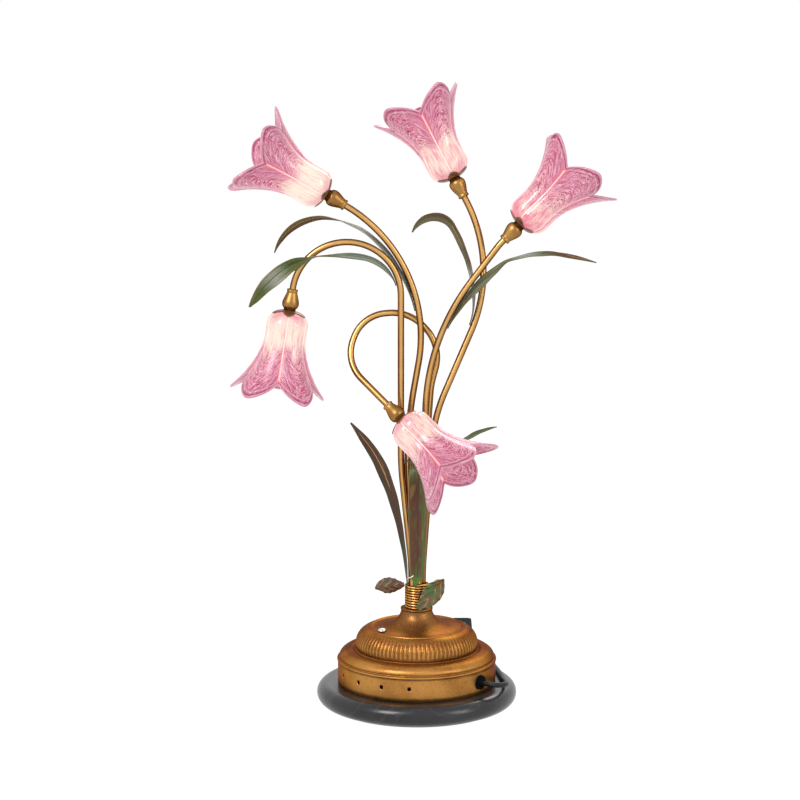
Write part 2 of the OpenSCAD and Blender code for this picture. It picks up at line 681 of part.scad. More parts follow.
// Thin dished star under the glass
module sepal_plate(i) {
  rise = 3.4;
  dish = [for (k = [0:8]) let (r = sepal_r * k / 8) [r, rise * pow(r / sepal_r, 2)]];
  color([0.5, 0.36, 0.18])
    multmatrix(head_frame(i) * shift([0, 0, plate_z]))
      difference() {
        intersection() {
          rotate_extrude()
            polygon(concat(dish, [for (k = [8:-1:0]) dish[k] + [0, sepal_t]]));
          translate([0, 0, -1])
            linear_extrude(rise + sepal_t + 2) {
              circle(r = sepal_w * 0.62);
              for (k = [0:sepals - 1])
                rotate(k * 360 / sepals)
                  pointed_petal(sepal_r, sepal_w);
            }
        }
        translate([0, 0, -1])
          cylinder(h = 4, d = nipple_d + 2 * fit, $fn = 32);
      }
}

// Pointed outline of length l and width w: where two circles cross
module pointed_petal(l, w) {
  half = l * 0.62;
  r = (half * half + w * w / 4) / w;
  translate([l - half, 0])
    intersection() {
      translate([0, r - w / 2])
        circle(r = r, $fn = 96);
      translate([0, w / 2 - r])
        circle(r = r, $fn = 96);
    }
}

// Moulded glass flower: the outer face follows a rounded foot, a body and a flare
shade_cols = 6;
shade_foot_rows = 3;
shade_rows = 9;
shade_hole = nipple_d / 2 + 2 * fit;
function shade_flare(z) =
  z < flare_from ? 0 : (mouth_d - shade_d) / 2 * pow((z - flare_from) / (shade_l - flare_from), 1.8);
// Rim height across a petal, where q runs from -1 to 1
function shade_rim(q) = shade_l - (shade_l - notch_z) * (0.5 * abs(q) + 0.5 * q * q);
function shade_rz(row, q) =
  row < shade_foot_rows
    ? let (a = 90 * row / shade_foot_rows) [shade_hole + (shade_d / 2 - shade_hole) * sin(a), foot_h * (1 - cos(a))]
    : let (z = foot_h + (shade_rim(q) - foot_h) * (row - shade_foot_rows) / (shade_rows - shade_foot_rows))
      [shade_d / 2 + shade_flare(z), z];
// Creases deepen up to the body and pull the petals' edges inwards
function shade_crease(z, q) = crease * pow(abs(q), 3) * min(1, z / foot_h) * (1 + z / shade_l);
function shade_normal(row, q) =
  row == 0 ? [0, 1] : let (a = shade_rz(row - 1, q), b = shade_rz(min(row + 1, shade_rows), q), t = unit(b - a))
    [-t.y, t.x];
function shade_point(row, col, inward) =
  let (q = 2 * (col % shade_cols) / shade_cols - 1, p = shade_rz(row, q) + shade_normal(row, q) * inward,
    r = max(shade_hole, p.x - shade_crease(p.y, q)), a = 360 * col / (shade_cols * petals))
  [r * cos(a), r * sin(a), p.y];
module shade_shell() {
  n = shade_cols * petals;
  rows = shade_rows + 1;
  inner = n * rows;
  points = [for (inward = [0, glass_t], row = [0:shade_rows], col = [0:n - 1]) shade_point(row, col, inward)];
  sides = [for (row = [0:shade_rows - 1], col = [0:n - 1]) let (a = row * n + col, b = row * n + (col + 1) % n)
    each [[a, a + n, b + n], [a, b + n, b],
      [inner + a, inner + b + n, inner + a + n], [inner + a, inner + b, inner + b + n]]];
  edges = [for (col = [0:n - 1]) let (b = (col + 1) % n, top = shade_rows * n)
    each [[col, b, inner + b], [col, inner + b, inner + col],
      [top + col, inner + top + b, top + b], [top + col, inner + top + col, inner + top + b]]];
  polyhedron(points = points, faces = concat(sides, edges), convexity = 10);
}

module glass_shade(i) {
  color([0.93, 0.6, 0.72])
    multmatrix(head_frame(i) * shift([0, 0, shade_z]))
      shade_shell();
}

module lamp_holder(i) {
  color("ivory")
    multmatrix(head_frame(i))
      difference() {
        union() {
          translate([0, 0, holder_z])
            cylinder(h = holder_h, d = holder_d, $fn = 32);
          translate([0, 0, cup_seat + 2 + seat])
            cylinder(h = holder_z - cup_seat - 2 - seat + 1, d = nipple_d, $fn = 32);
        }
        translate([0, 0, cup_seat])
          cylinder(h = holder_z - cup_seat + holder_h - 8, d = nipple_d - 2, $fn = 24);
        for (x = [-2, 2])
          translate([x, 0, holder_z + holder_h - 7.5])
            cylinder(h = 9, d = 1.2, $fn = 16);
      }
}

module bulb(i) {
  color([1, 0.95, 0.8])
    multmatrix(head_frame(i) * shift([0, 0, bulb_z])) {
      translate([0, 0, bulb_d * 0.35])
        rotate_extrude($fn = 32)
          polygon(concat([[0, 0], [bulb_d / 2, 0]],
            arc([0, bulb_l - bulb_d * 0.35 - bulb_d * 0.45], bulb_d / 2, bulb_d * 0.45, 0, 78, 6),
            [[0.8, bulb_l - bulb_d * 0.35 + 0.6], [0, bulb_l - bulb_d * 0.35 + 1]]));
      translate([-bulb_d * 0.42, -1.7, 0])
        cube([bulb_d * 0.84, 3.4, bulb_d * 0.4]);
      for (x = [-2, 2])
        translate([x, 0, -7])
          cylinder(h = 7.5, d = 0.8, $fn = 16);
    }
}

// Half width of a leaf at a share t of its length, widest at the share m
function leaf_half(w, m, t) =
  let (a = t < m ? 90 * t / m : 90 + 90 * (t - m) / (1 - m))
  max(0.25, max(t < 0.3 ? leaf_foot_w / 2 : 0, w / 2 * pow(sin(a), t < m ? 1.3 : 0.8)));
// Five points across the top and five below, with the midrib folded down and the edges raised
function leaf_section(frame, h, t) = [for (k = [0:9]) let (top = k < 5, j = top ? k : 9 - k, y = (j - 2) / 2)
  place(frame, [leaf_fold * h * (abs(y) * 1.2 - y * y * 0.2) + (top ? t / 2 : -t / 2), y * h, 0])];
module leaf_blade(start, w, m, runs, t) {
  ds = leaf_total(runs) / leaf_rings;
  f = leaf_frames(start, runs, ds);
  points = [for (i = [0:leaf_rings])
    each leaf_section(f[i] * spin_z(leaf_turn(runs, i * ds)), leaf_half(w, m, i / leaf_rings), t)];
  // The folded end faces are closed in narrow strips
  last = leaf_rings * 10;
  foot = [for (j = [0:3]) each [[9 - j, 8 - j, j + 1], [9 - j, j + 1, j]]];
  tip = [for (j = [0:3]) each [[last + j, last + j + 1, last + 8 - j], [last + j, last + 8 - j, last + 9 - j]]];
  polyhedron(points = points, faces = concat(foot, wall_faces(leaf_rings + 1, 10), tip), convexity = 10);
}

module stem_leaf(k) {
  l = stem_leaves[k];
  color([0.36, 0.42, 0.24])
    leaf_blade(leaf_start(l), l[3], l[4], l[5], leaf_t);
}

module tall_leaf(k) {
  l = tall_leaves[k];
  color([0.3, 0.4, 0.2])
    leaf_blade(tall_start(l), l[1], l[2], l[3], leaf_t);
}

module cast_leaf_left() {
  start = shift([-winding_r - 0.4, -4, neck_top + 24]) * spin_y(-100) * spin_z(80);
  color([0.5, 0.3, 0.2])
    leaf_blade(start, 17, 0.5, [[10, 0, 8, 0], [12, 20, -10, 10], [8, -40, -20, 0]], cast_t);
}

module cast_leaf_right() {
  start = shift([1, -winding_r - 1.2, neck_top + 1.5]) * spin_y(50) * spin_z(-90);
  color([0.35, 0.45, 0.25])
    leaf_blade(start, 20, 0.5, [[14, 0, 10, 0], [16, 10, 8, 0], [12, 30, -10, 10]], cast_t);
}

module cord_bush() {
  color([0.1, 0.1, 0.1])
    at_azimuth(bush_az)
      translate([skirt_r, 0, stone_top + bush_z])
        rotate([0, 90, 0])
          difference() {
            union() {
              cylinder(h = 2, d = bush_d);
              translate([0, 0, 1.9])
                cylinder(h = bush_nose + 0.1, d1 = cord_d + 4, d2 = cord_d + 2);
              translate([0, 0, -sheet_t - 1])
                cylinder(h = sheet_t + 1.1, d = bush_hole_d - 2 * fit);
              translate([0, 0, -bush_inside])
                cylinder(h = bush_inside - sheet_t - 0.4, d1 = cord_d + 3, d2 = bush_hole_d + 1.6);
            }
            translate([0, 0, -bush_inside - 1])
              cylinder(h = bush_inside - 1, d = cord_d);
          }
}

// Free cord from one face to another: straight at both ends, smooth in between
module cord_run(from, points, to) {
  color([0.08, 0.08, 0.08])
    round_tube(concat([from], smooth(points, 2), [to]), cord_d, 8);
}
switch_in = [50, switch_at.y - switch_l / 2, 7.5];
switch_out = [50, switch_at.y + switch_l / 2, 7.5];
plug_in = [plug_at.x - plug_neck + 4, plug_at.y, plug_h / 2];
coil_in_points = concat(run_coil, [coil_in - coil_dir * cord_d]);
plug_points = concat([coil_exit + coil_dir * cord_d], run_plug, [plug_in - [cord_d, 0, 0]]);
echo(cord_length = line_length(concat([bush_end], smooth(run_lamp, 4), [switch_in]))
  + line_length(concat([switch_out], smooth(coil_in_points, 4), [coil_in])) + line_length(coil_line)
  + line_length(concat([coil_exit], smooth(plug_points, 4), [plug_in])) + 2 * cord_d);

module cord_coil() {
  line = concat([coil_in], coil_line, [coil_exit]);
  color([0.08, 0.08, 0.08])
    round_tube(line, cord_d, 6);
}

// Cord switch: two shells and a rocker on a cross pivot
switch_split = 7.5;
pivot_z = 10;
module switch_plate(h, inset) {
  linear_extrude(h)
    rounded_box_2d(switch_w - 2 * inset, switch_l - 2 * inset, 5 - inset);
}
module switch_base() {
  color([0.1, 0.1, 0.1])
    translate([switch_at.x, switch_at.y, 0])
      difference() {
        switch_plate(switch_split, 0);
        translate([0, 0, switch_wall])
          switch_plate(switch_split, switch_wall);
      }
}
module switch_cover() {
  half = rocker_l / 2 + 0.9;
  color([0.1, 0.1, 0.1])
    translate([switch_at.x, switch_at.y, 0])
      difference() {
        union() {
          difference() {
            translate([0, 0, switch_split + 0.05])
              switch_plate(switch_h - switch_split - 0.05, 0);
            translate([0, 0, switch_split - 1])
              switch_plate(switch_h - switch_split + 1 - switch_wall, switch_wall);
          }
          for (x = [-1, 1])
            translate([x * (rocker_w / 2 + 1.4) - 0.9, -4, pivot_z - 2.4])
              cube([1.8, 8, switch_h - pivot_z + 1.4]);
        }
        translate([-rocker_w / 2 - 0.3, -half, pivot_z])
          cube([rocker_w + 0.6, 2 * half, switch_h]);
        translate([-switch_w / 2 + switch_wall + 0.2, 0, pivot_z])
          rotate([0, 90, 0])
            cylinder(h = switch_w - 2 * switch_wall - 0.4, d = pivot_d + 2 * pivot_fit, $fn = 32);
      }
}
module switch_rocker() {
  color([0.15, 0.15, 0.15])
    translate([switch_at.x, switch_at.y, pivot_z])
      rotate([rocker_swing / 2, 0, 0]) {
        rotate([90, 0, 90])
          translate([0, 0, -rocker_w / 2])
            linear_extrude(rocker_w)
              polygon([[-rocker_l / 2 + 1.5, -2], [-rocker_l / 2, 1], [-rocker_l / 2, 5.2],
                [-rocker_l / 2 + 0.8, 5.3], [0, 4.3], [rocker_l / 2 - 0.8, 5.3], [rocker_l / 2, 5.2],
                [rocker_l / 2, 1], [rocker_l / 2 - 1.5, -2]]);
        translate([-rocker_w / 2 - 2, 0, 0])
          rotate([0, 90, 0])
            cylinder(h = rocker_w + 4, d = pivot_d, $fn = 32);
      }
}

// Flat two-pin plug lying beside the coil, pins to the right
pin_z = plug_h / 2;
module plug_body() {
  color([0.1, 0.1, 0.1])
    translate([plug_at.x, plug_at.y, 0])
      difference() {
        union() {
          hull() {
            translate([plug_l - 3, -plug_w / 2 + 3, plug_h / 2])
              plug_side(plug_h);
            translate([plug_l - 3, plug_w / 2 - 3, plug_h / 2])
              plug_side(plug_h);
            translate([5, -5, plug_h / 2])
              plug_side(plug_h * 0.8);
            translate([5, 5, plug_h / 2])
              plug_side(plug_h * 0.8);
          }
          translate([-plug_neck + 4, 0, pin_z])
            rotate([0, 90, 0])
              cylinder(h = plug_neck, d1 = cord_d + 1.6, d2 = cord_d + 4);
        }
        for (y = [-1, 1])
          translate([plug_l - 6, y * pin_pitch / 2, pin_z])
            rotate([0, 90, 0])
              cylinder(h = 10, d = pin_d + 2 * pivot_fit, $fn = 32);
      }
}
module plug_side(h) {
  cylinder(h = h, r = 3, center = true, $fn = 32);
}
module plug_pins() {
  color("silver")
    translate([plug_at.x + plug_l - 6, plug_at.y, pin_z])
      for (y = [-1, 1])
        translate([0, y * pin_pitch / 2, 0])
          rotate([0, 90, 0]) {
            cylinder(h = pin_l + 4, d = pin_d, $fn = 32);
            translate([0, 0, pin_l + 4])
              cylinder(h = 2, d1 = pin_d, d2 = pin_d - 1.6, $fn = 32);
          }
}

felt_pad();
stone_base();
base_dome();
transformer();
transformer_strap();
shoulder_screws();
tie_rod();
tie_nuts();
wiring_block();
stem_socket();
wire_winding();
stem(0);  // stem_a
stem(1);  // stem_b
stem(2);  // stem_c
stem(3);  // stem_d
stem(4);  // stem_e
cup(0);  // cup_a
cup(1);  // cup_b
cup(2);  // cup_c
cup(3);  // cup_d
cup(4);  // cup_e
sepal_plate(0);  // sepals_a
sepal_plate(1);  // sepals_b
sepal_plate(2);  // sepals_c
sepal_plate(3);  // sepals_d
sepal_plate(4);  // sepals_e
glass_shade(0);  // glass_shade_a
glass_shade(1);  // glass_shade_b
glass_shade(2);  // glass_shade_c
glass_shade(3);  // glass_shade_d
glass_shade(4);  // glass_shade_e
lamp_holder(0);  // lamp_holder_a
lamp_holder(1);  // lamp_holder_b
lamp_holder(2);  // lamp_holder_c
lamp_holder(3);  // lamp_holder_d
lamp_holder(4);  // lamp_holder_e
bulb(0);  // bulb_a
bulb(1);  // bulb_b
bulb(2);  // bulb_c
bulb(3);  // bulb_d
bulb(4);  // bulb_e
stem_leaf(0);  // leaf_a
stem_leaf(1);  // leaf_b
stem_leaf(2);  // leaf_c
stem_leaf(3);  // leaf_d
stem_leaf(4);  // leaf_e
tall_leaf(0);  // leaf_left
tall_leaf(1);  // leaf_front
cast_leaf_left();
cast_leaf_right();
cord_bush();
cord_run(bush_end, run_lamp, switch_in);  // cord_run_lamp
cord_run(switch_out, coil_in_points, coil_in);  // cord_run_coil
cord_coil();
cord_run(coil_exit, plug_points, plug_in);  // cord_run_plug
switch_base();
switch_cover();
switch_rocker();
plug_body();
plug_pins();
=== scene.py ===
import bpy
import math
import numpy as np
from mathutils import Matrix, Vector


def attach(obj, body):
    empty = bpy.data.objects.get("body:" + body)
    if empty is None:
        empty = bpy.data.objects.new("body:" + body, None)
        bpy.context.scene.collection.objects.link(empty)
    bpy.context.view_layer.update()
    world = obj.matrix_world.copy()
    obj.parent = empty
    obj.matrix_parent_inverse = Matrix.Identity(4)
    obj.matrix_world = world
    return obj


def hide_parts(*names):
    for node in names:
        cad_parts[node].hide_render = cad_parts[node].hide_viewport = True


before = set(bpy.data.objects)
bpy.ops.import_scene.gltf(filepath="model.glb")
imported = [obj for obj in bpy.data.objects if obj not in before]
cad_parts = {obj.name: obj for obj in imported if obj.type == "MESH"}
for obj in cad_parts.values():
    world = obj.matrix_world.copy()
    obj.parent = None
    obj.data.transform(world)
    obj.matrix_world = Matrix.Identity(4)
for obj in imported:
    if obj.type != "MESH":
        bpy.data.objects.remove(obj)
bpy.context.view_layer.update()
print("frame loaded:", len(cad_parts), "nodes")

mm = 0.001
letters = "abcde"  # the five flowers: upper left, top, right, hanging, low


# Small helpers

def rgb(red, green, blue):  # 0 to 255 as on a screen, to linear
    def linear(c):
        c = c / 255
        return c / 12.92 if c <= 0.04045 else ((c + 0.055) / 1.055) ** 2.4
    return (linear(red), linear(green), linear(blue), 1.0)


class Wire:  # an output socket that can take part in sums
    def __init__(self, sketch, socket):
        self.sketch, self.socket = sketch, socket

    def out(self, name):
        return Wire(self.sketch, self.socket.node.outputs[name])

    def math(self, operation, *rest):
        return self.sketch.add("ShaderNodeMath", {"operation": operation}, dict(enumerate([self, *rest])))

    def __add__(self, other):
        return self.math("ADD", other)

    def __sub__(self, other):
        return self.math("SUBTRACT", other)

    def __rsub__(self, other):
        return self.sketch.add("ShaderNodeMath", {"operation": "SUBTRACT"}, {0: other, 1: self})

    def __mul__(self, other):
        return self.math("MULTIPLY", other)

    def __truediv__(self, other):
        return self.math("DIVIDE", other)

    def __pow__(self, other):
        return self.math("POWER", other)

    def __abs__(self):
        return self.math("ABSOLUTE")

    def ramp(self, low, high, start=0.0, end=1.0):  # soft step from start to end
        return self.sketch.add("ShaderNodeMapRange", {"interpolation_type": "SMOOTHSTEP"}, {
            "Value": self, "From Min": low, "From Max": high, "To Min": start, "To Max": end})


class Sketch:  # draws nodes into one tree, shader or geometry
    def __init__(self, tree):
        self.tree = tree

    def add(self, kind, settings=None, sockets=None, output=0):
        node = self.tree.nodes.new(kind)
        for key, value in (settings or {}).items():
            setattr(node, key, value)
        for key, value in (sockets or {}).items():
            if isinstance(value, Wire):
                self.tree.links.new(value.socket, node.inputs[key])
            else:
                node.inputs[key].default_value = value
        return Wire(self, node.outputs[output]) if len(node.outputs) else node

    def geo(self, kind, sockets=None):  # a node that only Geometry Nodes have
        return self.add("GeometryNode" + kind, {}, sockets)

    def mix(self, share, first, second):
        return self.add("ShaderNodeMix", {"data_type": "RGBA"}, {0: share, 6: first, 7: second}, 2)

    def coats(self, colour, *coats):  # colours laid one over another, each with its share
        for share, over in coats:
            colour = self.mix(share, colour, over)
        return colour

    def scaled(self, vector, x, y, z):
        return self.add("ShaderNodeVectorMath", {"operation": "MULTIPLY"}, {0: vector, 1: (x, y, z)})

    def times(self, vector, number):
        return self.add("ShaderNodeVectorMath", {"operation": "SCALE"}, {0: vector, "Scale": number})

    def vector(self, x, y, z):
        return self.add("ShaderNodeCombineXYZ", {}, {0: x, 1: y, 2: z})

    def split(self, vector):
        parts = self.add("ShaderNodeSeparateXYZ", {}, {0: vector})
        return parts, parts.out("Y"), parts.out("Z")

    def uvMap(self, name):
        u, v, _ = self.split(self.add("ShaderNodeUVMap", {"uv_map": name}))
        return u, v

    def noise(self, vector, scale, detail=2.0, roughness=0.5, distortion=0.0):
        return self.add("ShaderNodeTexNoise", {}, {"Vector": vector, "Scale": scale, "Detail": detail,
                                                   "Roughness": roughness, "Distortion": distortion})

    def grain(self, x, y, z, detail, roughness=0.5, distortion=0.0):  # noise laid out on a map
        return self.noise(self.vector(x, y, z), 1.0, detail, roughness, distortion)

    def bump(self, height, distance, strength=1.0):
        return self.add("ShaderNodeBump", {}, {"Height": height, "Distance": distance, "Strength": strength})

    def place(self):
        return self.add("ShaderNodeTexCoord", output="Object")

    def facing(self):  # 0 face on, 1 at the outline
        return self.add("ShaderNodeLayerWeight", {}, {"Blend": 0.5}, "Facing")


def finishOf(name, recipe, **fixed):  # a material from a recipe of shader inputs
    material = bpy.data.materials.new(name)
    material.use_nodes = True
    shader = material.node_tree.nodes["Principled BSDF"]
    for key, value in {**recipe(Sketch(material.node_tree)), **fixed}.items():
        key = key.replace("_", " ")
        if isinstance(value, Wire):
            material.node_tree.links.new(value.socket, shader.inputs[key])
        else:
            shader.inputs[key].default_value = value
    return material


def clouded(name, scale, detail, span, dark, light, roughness, relief, **fixed):
    def recipe(s):  # one noise for colour, gloss and relief
        cloud = s.noise(s.place(), scale, detail)
        return {"Base Color": s.mix(cloud.ramp(*span), rgb(*dark), rgb(*light)),
                "Roughness": cloud * roughness[0] + roughness[1], "Normal": s.bump(cloud, *relief)}
    return finishOf(name, recipe, **fixed)


def geometryTree(name, **inputs):  # a Geometry Nodes tree with named inputs, the material among them
    tree = bpy.data.node_groups.new(name, "GeometryNodeTree")
    for side in ("OUTPUT", "INPUT"):
        tree.interface.new_socket("Geometry", in_out=side, socket_type="NodeSocketGeometry")
    for label, kind in {**inputs, "material": "Material"}.items():
        tree.interface.new_socket(label, in_out="INPUT", socket_type="NodeSocket" + kind)
    sketch = Sketch(tree)
    return sketch, sketch.add("NodeGroupInput")


def closeTree(sketch, geometry, given):
    geometry = sketch.geo("SetShadeSmooth", {"Geometry": geometry})
    geometry = sketch.geo("RealizeInstances", {"Geometry": geometry})
    geometry = sketch.geo("SetMaterial", {"Geometry": geometry, "Material": given.out("material")})
    sketch.add("NodeGroupOutput", {}, {"Geometry": geometry})
    return sketch.tree


def grow(obj, tree, **values):  # runs a tree on an object and keeps the plain mesh
    modifier = obj.modifiers.new("grow", "NODES")
    modifier.node_group = tree
    for item in tree.interface.items_tree:
        if item.in_out == "INPUT" and item.name in values:
            modifier[item.identifier] = values[item.name]
    graph = bpy.context.evaluated_depsgraph_get()
    mesh = bpy.data.meshes.new_from_object(obj.evaluated_get(graph))
    obj.modifiers.clear()
    obj.data = mesh
    mesh.name = obj.name


def meshPiece(name, points, faces=(), edges=(), material=None, mapName=None, corners=None):
    mesh = bpy.data.meshes.new(name)
    mesh.from_pydata([tuple(p) for p in points], list(edges), list(faces))
    if material:
        mesh.materials.append(material)
    if mapName:
        layer = mesh.uv_layers.new(name=mapName)
        layer.data.foreach_set("uv", np.asarray(corners, np.float32).ravel())
    mesh.polygons.foreach_set("use_smooth", [True] * len(mesh.polygons))
    mesh.update()
    obj = bpy.data.objects.new(name, mesh)
    bpy.context.scene.collection.objects.link(obj)
    return obj


def cadPieces(*names):
    return [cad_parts[name] for name in names]


def keepCad(material, *names):  # a CAD node stays, with a better finish
    for node in cadPieces(*names):
        if not node.material_slots:
            node.data.materials.append(material)
        for entry in node.material_slots:
            entry.material = material


def hold(obj, nodes=(), body="lamp"):  # the piece rides with its body and stands for CAD nodes, which are hidden
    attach(obj, body)
    if nodes:
        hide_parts(*nodes)


def move(x, y, z):
    return Matrix.Translation((x, y, z))


def turn(axis, degrees):
    return Matrix.Rotation(math.radians(degrees), 4, axis)


def aimed(name, data, at, aim):  # a camera or lamp that looks at a point
    obj = bpy.data.objects.new(name, data)
    obj.location = at
    obj.rotation_euler = (Vector(aim) - Vector(at)).to_track_quat("-Z", "Y").to_euler()
    bpy.context.scene.collection.objects.link(obj)
    return obj


def smoothRoute(points, pieces):  # Catmull-Rom line through given points
    p = [Vector(q) for q in points]
    line = []
    for i in range(len(p) - 1):
        a, b, c, d = p[max(i - 1, 0)], p[i], p[i + 1], p[min(i + 2, len(p) - 1)]
        for k in range(pieces):
            t = k / pieces
            line.append(0.5 * (2 * b + (c - a) * t + (2 * a - 5 * b + 4 * c - d) * t * t
                               + (3 * b - a - 3 * c + d) * t ** 3))
    return line + [p[-1]]


def lengthOf(line):
    return sum((b - a).length for a, b in zip(line, line[1:]))


# Camera

cameraSetup = {"at": (0, -2.25, 0.67), "aim": (-0.0167, 0, 0.307), "lens": 104.13}


def makeCamera(setup):
    data = bpy.data.cameras.new("productCamera")
    data.sensor_width = 36
    data.lens = setup["lens"]
    data.clip_start, data.clip_end = 0.1, 40
    bpy.context.scene.camera = aimed("productCamera", data, setup["at"], setup["aim"])


makeCamera(cameraSetup)
print("camera ready")


# Mains cord

def rubberFinish(s):
    place = s.place()
    grain = s.noise(place, 900, 3)
    cloud = s.noise(place, 60, 2)
    return {"Base Color": s.mix(cloud.ramp(0.3, 0.7), rgb(13, 13, 15), rgb(22, 22, 25)),
            "Roughness": grain * 0.12 + 0.4, "Normal": s.bump(grain, 0.0001, 0.5)}


cordRubber = finishOf("cordRubber", rubberFinish, Specular_IOR_Level=0.3)
blackPlastic = clouded("blackPlastic", 1600, 2, (0.35, 0.65), (12, 12, 14), (20, 20, 22), (0.15, 0.4),
                       (0.00015, 0.6), Specular_IOR_Level=0.15, IOR=1.15)


def tubeTree():  # a round tube along the piece's own line
    s, given = geometryTree("tubeAlongLine", radius="Float", sides="Int")
    line = s.geo("MeshToCurve", {"Mesh": given.out("Geometry")})
    ring = s.geo("CurvePrimitiveCircle", {"Resolution": given.out("sides"), "Radius": given.out("radius")})
    tube = s.geo("CurveToMesh", {"Curve": line, "Profile Curve": ring, "Fill Caps": True})
    return closeTree(s, tube, given)


tubeMaker = tubeTree()


def tubePiece(name, line, diameter, sides, material):
    obj = meshPiece(name, line, edges=[(i, i + 1) for i in range(len(line) - 1)])
    grow(obj, tubeMaker, radius=diameter / 2, sides=sides, material=material)
    return obj


# The route's points, in metres: bush to switch, switch to coil, coil to plug
cordRoute = {
    "diameter": 0.005,
    "bushAngle": 52, "bushEnd": 0.084, "bushHeight": 0.034,
    "toSwitch": [(0.0722, -0.0561, 0.0339), (0.0766, -0.0575, 0.0338), (0.0811, -0.057, 0.0335),
                 (0.0849, -0.0545, 0.0331), (0.0873, -0.0505, 0.0325), (0.0883, -0.0455, 0.0318),
                 (0.0883, -0.035, 0.0302), (0.0879, -0.021, 0.0277), (0.0865, -0.004, 0.0252),
                 (0.0843, 0.015, 0.0248), (0.0812, 0.033, 0.0248), (0.077, 0.05, 0.0251),
                 (0.072, 0.066, 0.0223), (0.067, 0.084, 0.0125), (0.063, 0.1, 0.005), (0.06, 0.118, 0.0026),
                 (0.058, 0.138, 0.0025), (0.056, 0.158, 0.0026), (0.053, 0.178, 0.0035),
                 (0.051, 0.194, 0.006), (0.05, 0.208, 0.0075)],
    "switchIn": (0.05, 0.214, 0.0075), "switchOut": (0.05, 0.272, 0.0075),
    "toCoil": [(0.05, 0.278, 0.0075), (0.048, 0.29, 0.005), (0.04, 0.302, 0.003), (0.025, 0.3097, 0.0025),
               (0.007, 0.3087, 0.0025), (-0.011, 0.3, 0.0025), (-0.025, 0.286, 0.0025),
               (-0.034, 0.268, 0.0025), (-0.039, 0.249, 0.0025)],
    "coilAt": (-0.015, 0.207), "coilRadius": 0.0295, "coilTurns": 3.5, "coilPitch": 0.0055, "coilFrom": 150,
    "toPlug": [(-0.059, 0.206, 0.0065), (-0.062, 0.189, 0.0035), (-0.06, 0.17, 0.0026),
               (-0.051, 0.154, 0.0035)],
    "plugIn": (-0.032, 0.141, 0.007),
}


def coilLine(route, steps=24):  # inwards on the table, up a layer at the turning point, outwards on top
    x, y = route["coilAt"]
    turns, pitch = route["coilTurns"], route["coilPitch"]
    line = []
    for i in range(int(2 * turns * steps) + 1):
        t = i / steps
        radius = route["coilRadius"] + pitch * (abs(t - turns) - turns / 2)
        angle = math.radians(route["coilFrom"] + 360 * t)
        climb = min(1, max(0, (t - turns + 0.25) / 0.5))
        line.append(Vector((x + radius * math.cos(angle), y + radius * math.sin(angle),
                            route["diameter"] / 2 + pitch * climb)))
    return line


def cordPiece(name, line, d, nodes):
    for point in line:
        point.z = max(point.z, d / 2)
    cord = tubePiece(name, line, d, 16, cordRubber)
    hold(cord, nodes)
    return cord


def makeCord(route):
    d = route["diameter"]
    a = math.radians(route["bushAngle"])
    outward = Vector((math.sin(a), -math.cos(a), 0))
    bushEnd = outward * route["bushEnd"] + Vector((0, 0, route["bushHeight"]))
    first = [bushEnd] + smoothRoute([bushEnd + outward * 0.003] + route["toSwitch"], 3) \
        + [Vector(route["switchIn"])]
    lampCord = cordPiece("cordToSwitch", first, d, ["cord_run_lamp"])
    round(lengthOf(first), 2)

    coil = coilLine(route)
    a = math.radians(route["coilFrom"])
    along = Vector((-math.sin(a), math.cos(a), 0)) * d
    coilIn, coilOut, plugIn = coil[0] - along, coil[-1] + along, Vector(route["plugIn"])
    lead = smoothRoute(route["toCoil"] + [coilIn - along], 3)
    tail = smoothRoute([coilOut + along] + route["toPlug"] + [plugIn - Vector((d, 0, 0))], 3)
    second = [Vector(route["switchOut"])] + lead + [coilIn] + coil + [coilOut] + tail + [plugIn]
    plugCord = cordPiece("cordToPlug", second, d, ["cord_run_coil", "cord_coil", "cord_run_plug"])
    round(lengthOf(second), 2)
    print("cord made,", round(lengthOf(first) + lengthOf(second), 3), "m")


makeCord(cordRoute)


# Metal finishes

def goldPaint(s):  # antique gold lacquer, brown where it is thin; painted highlight face-on and painted shade towards the outline
    place = s.place()
    cloud = s.noise(place, 38, 4)
    fine = s.noise(place, 700, 2)
    worn = s.noise(s.scaled(place, 1, 1, 0.3), 120, 3)
    edge = s.facing()
    colour = s.coats(s.mix(cloud.ramp(0.35, 0.65), rgb(138, 95, 48), rgb(166, 119, 66)),
                     (worn.ramp(0.56, 0.76) * 0.35, rgb(108, 68, 34)),
                     # painted highlight where the surface faces the view, painted shade towards its outline
                     (edge.ramp(0.16, 0.0) * 0.75, rgb(228, 182, 116)),
                     (edge.ramp(0.22, 0.6) * 0.85, rgb(84, 50, 22)))
    return {"Base Color": colour, "Roughness": fine * 0.06 + cloud * 0.12 + 0.2,
            "Normal": s.bump(worn + fine * 0.15, 0.0002, 0.25)}


# In mm and degrees. Angles are counted from the front, to the right
domeSizes = {
    "columns": 504, "ring": 50, "skirt": 79, "flutes": 84, "fluteDepth": 0.75,
    "vents": 4, "ventDiameter": 3.7, "ventStep": 20.5, "ventFirst": -5.3, "ventHeight": 35,
    "bushAngle": 52, "bushHole": 10.6, "bushHeight": 34,
    "screwAngles": (-59, 180), "screwCircle": 40, "screwHole": 4.4, "screwHeight": 78,
}


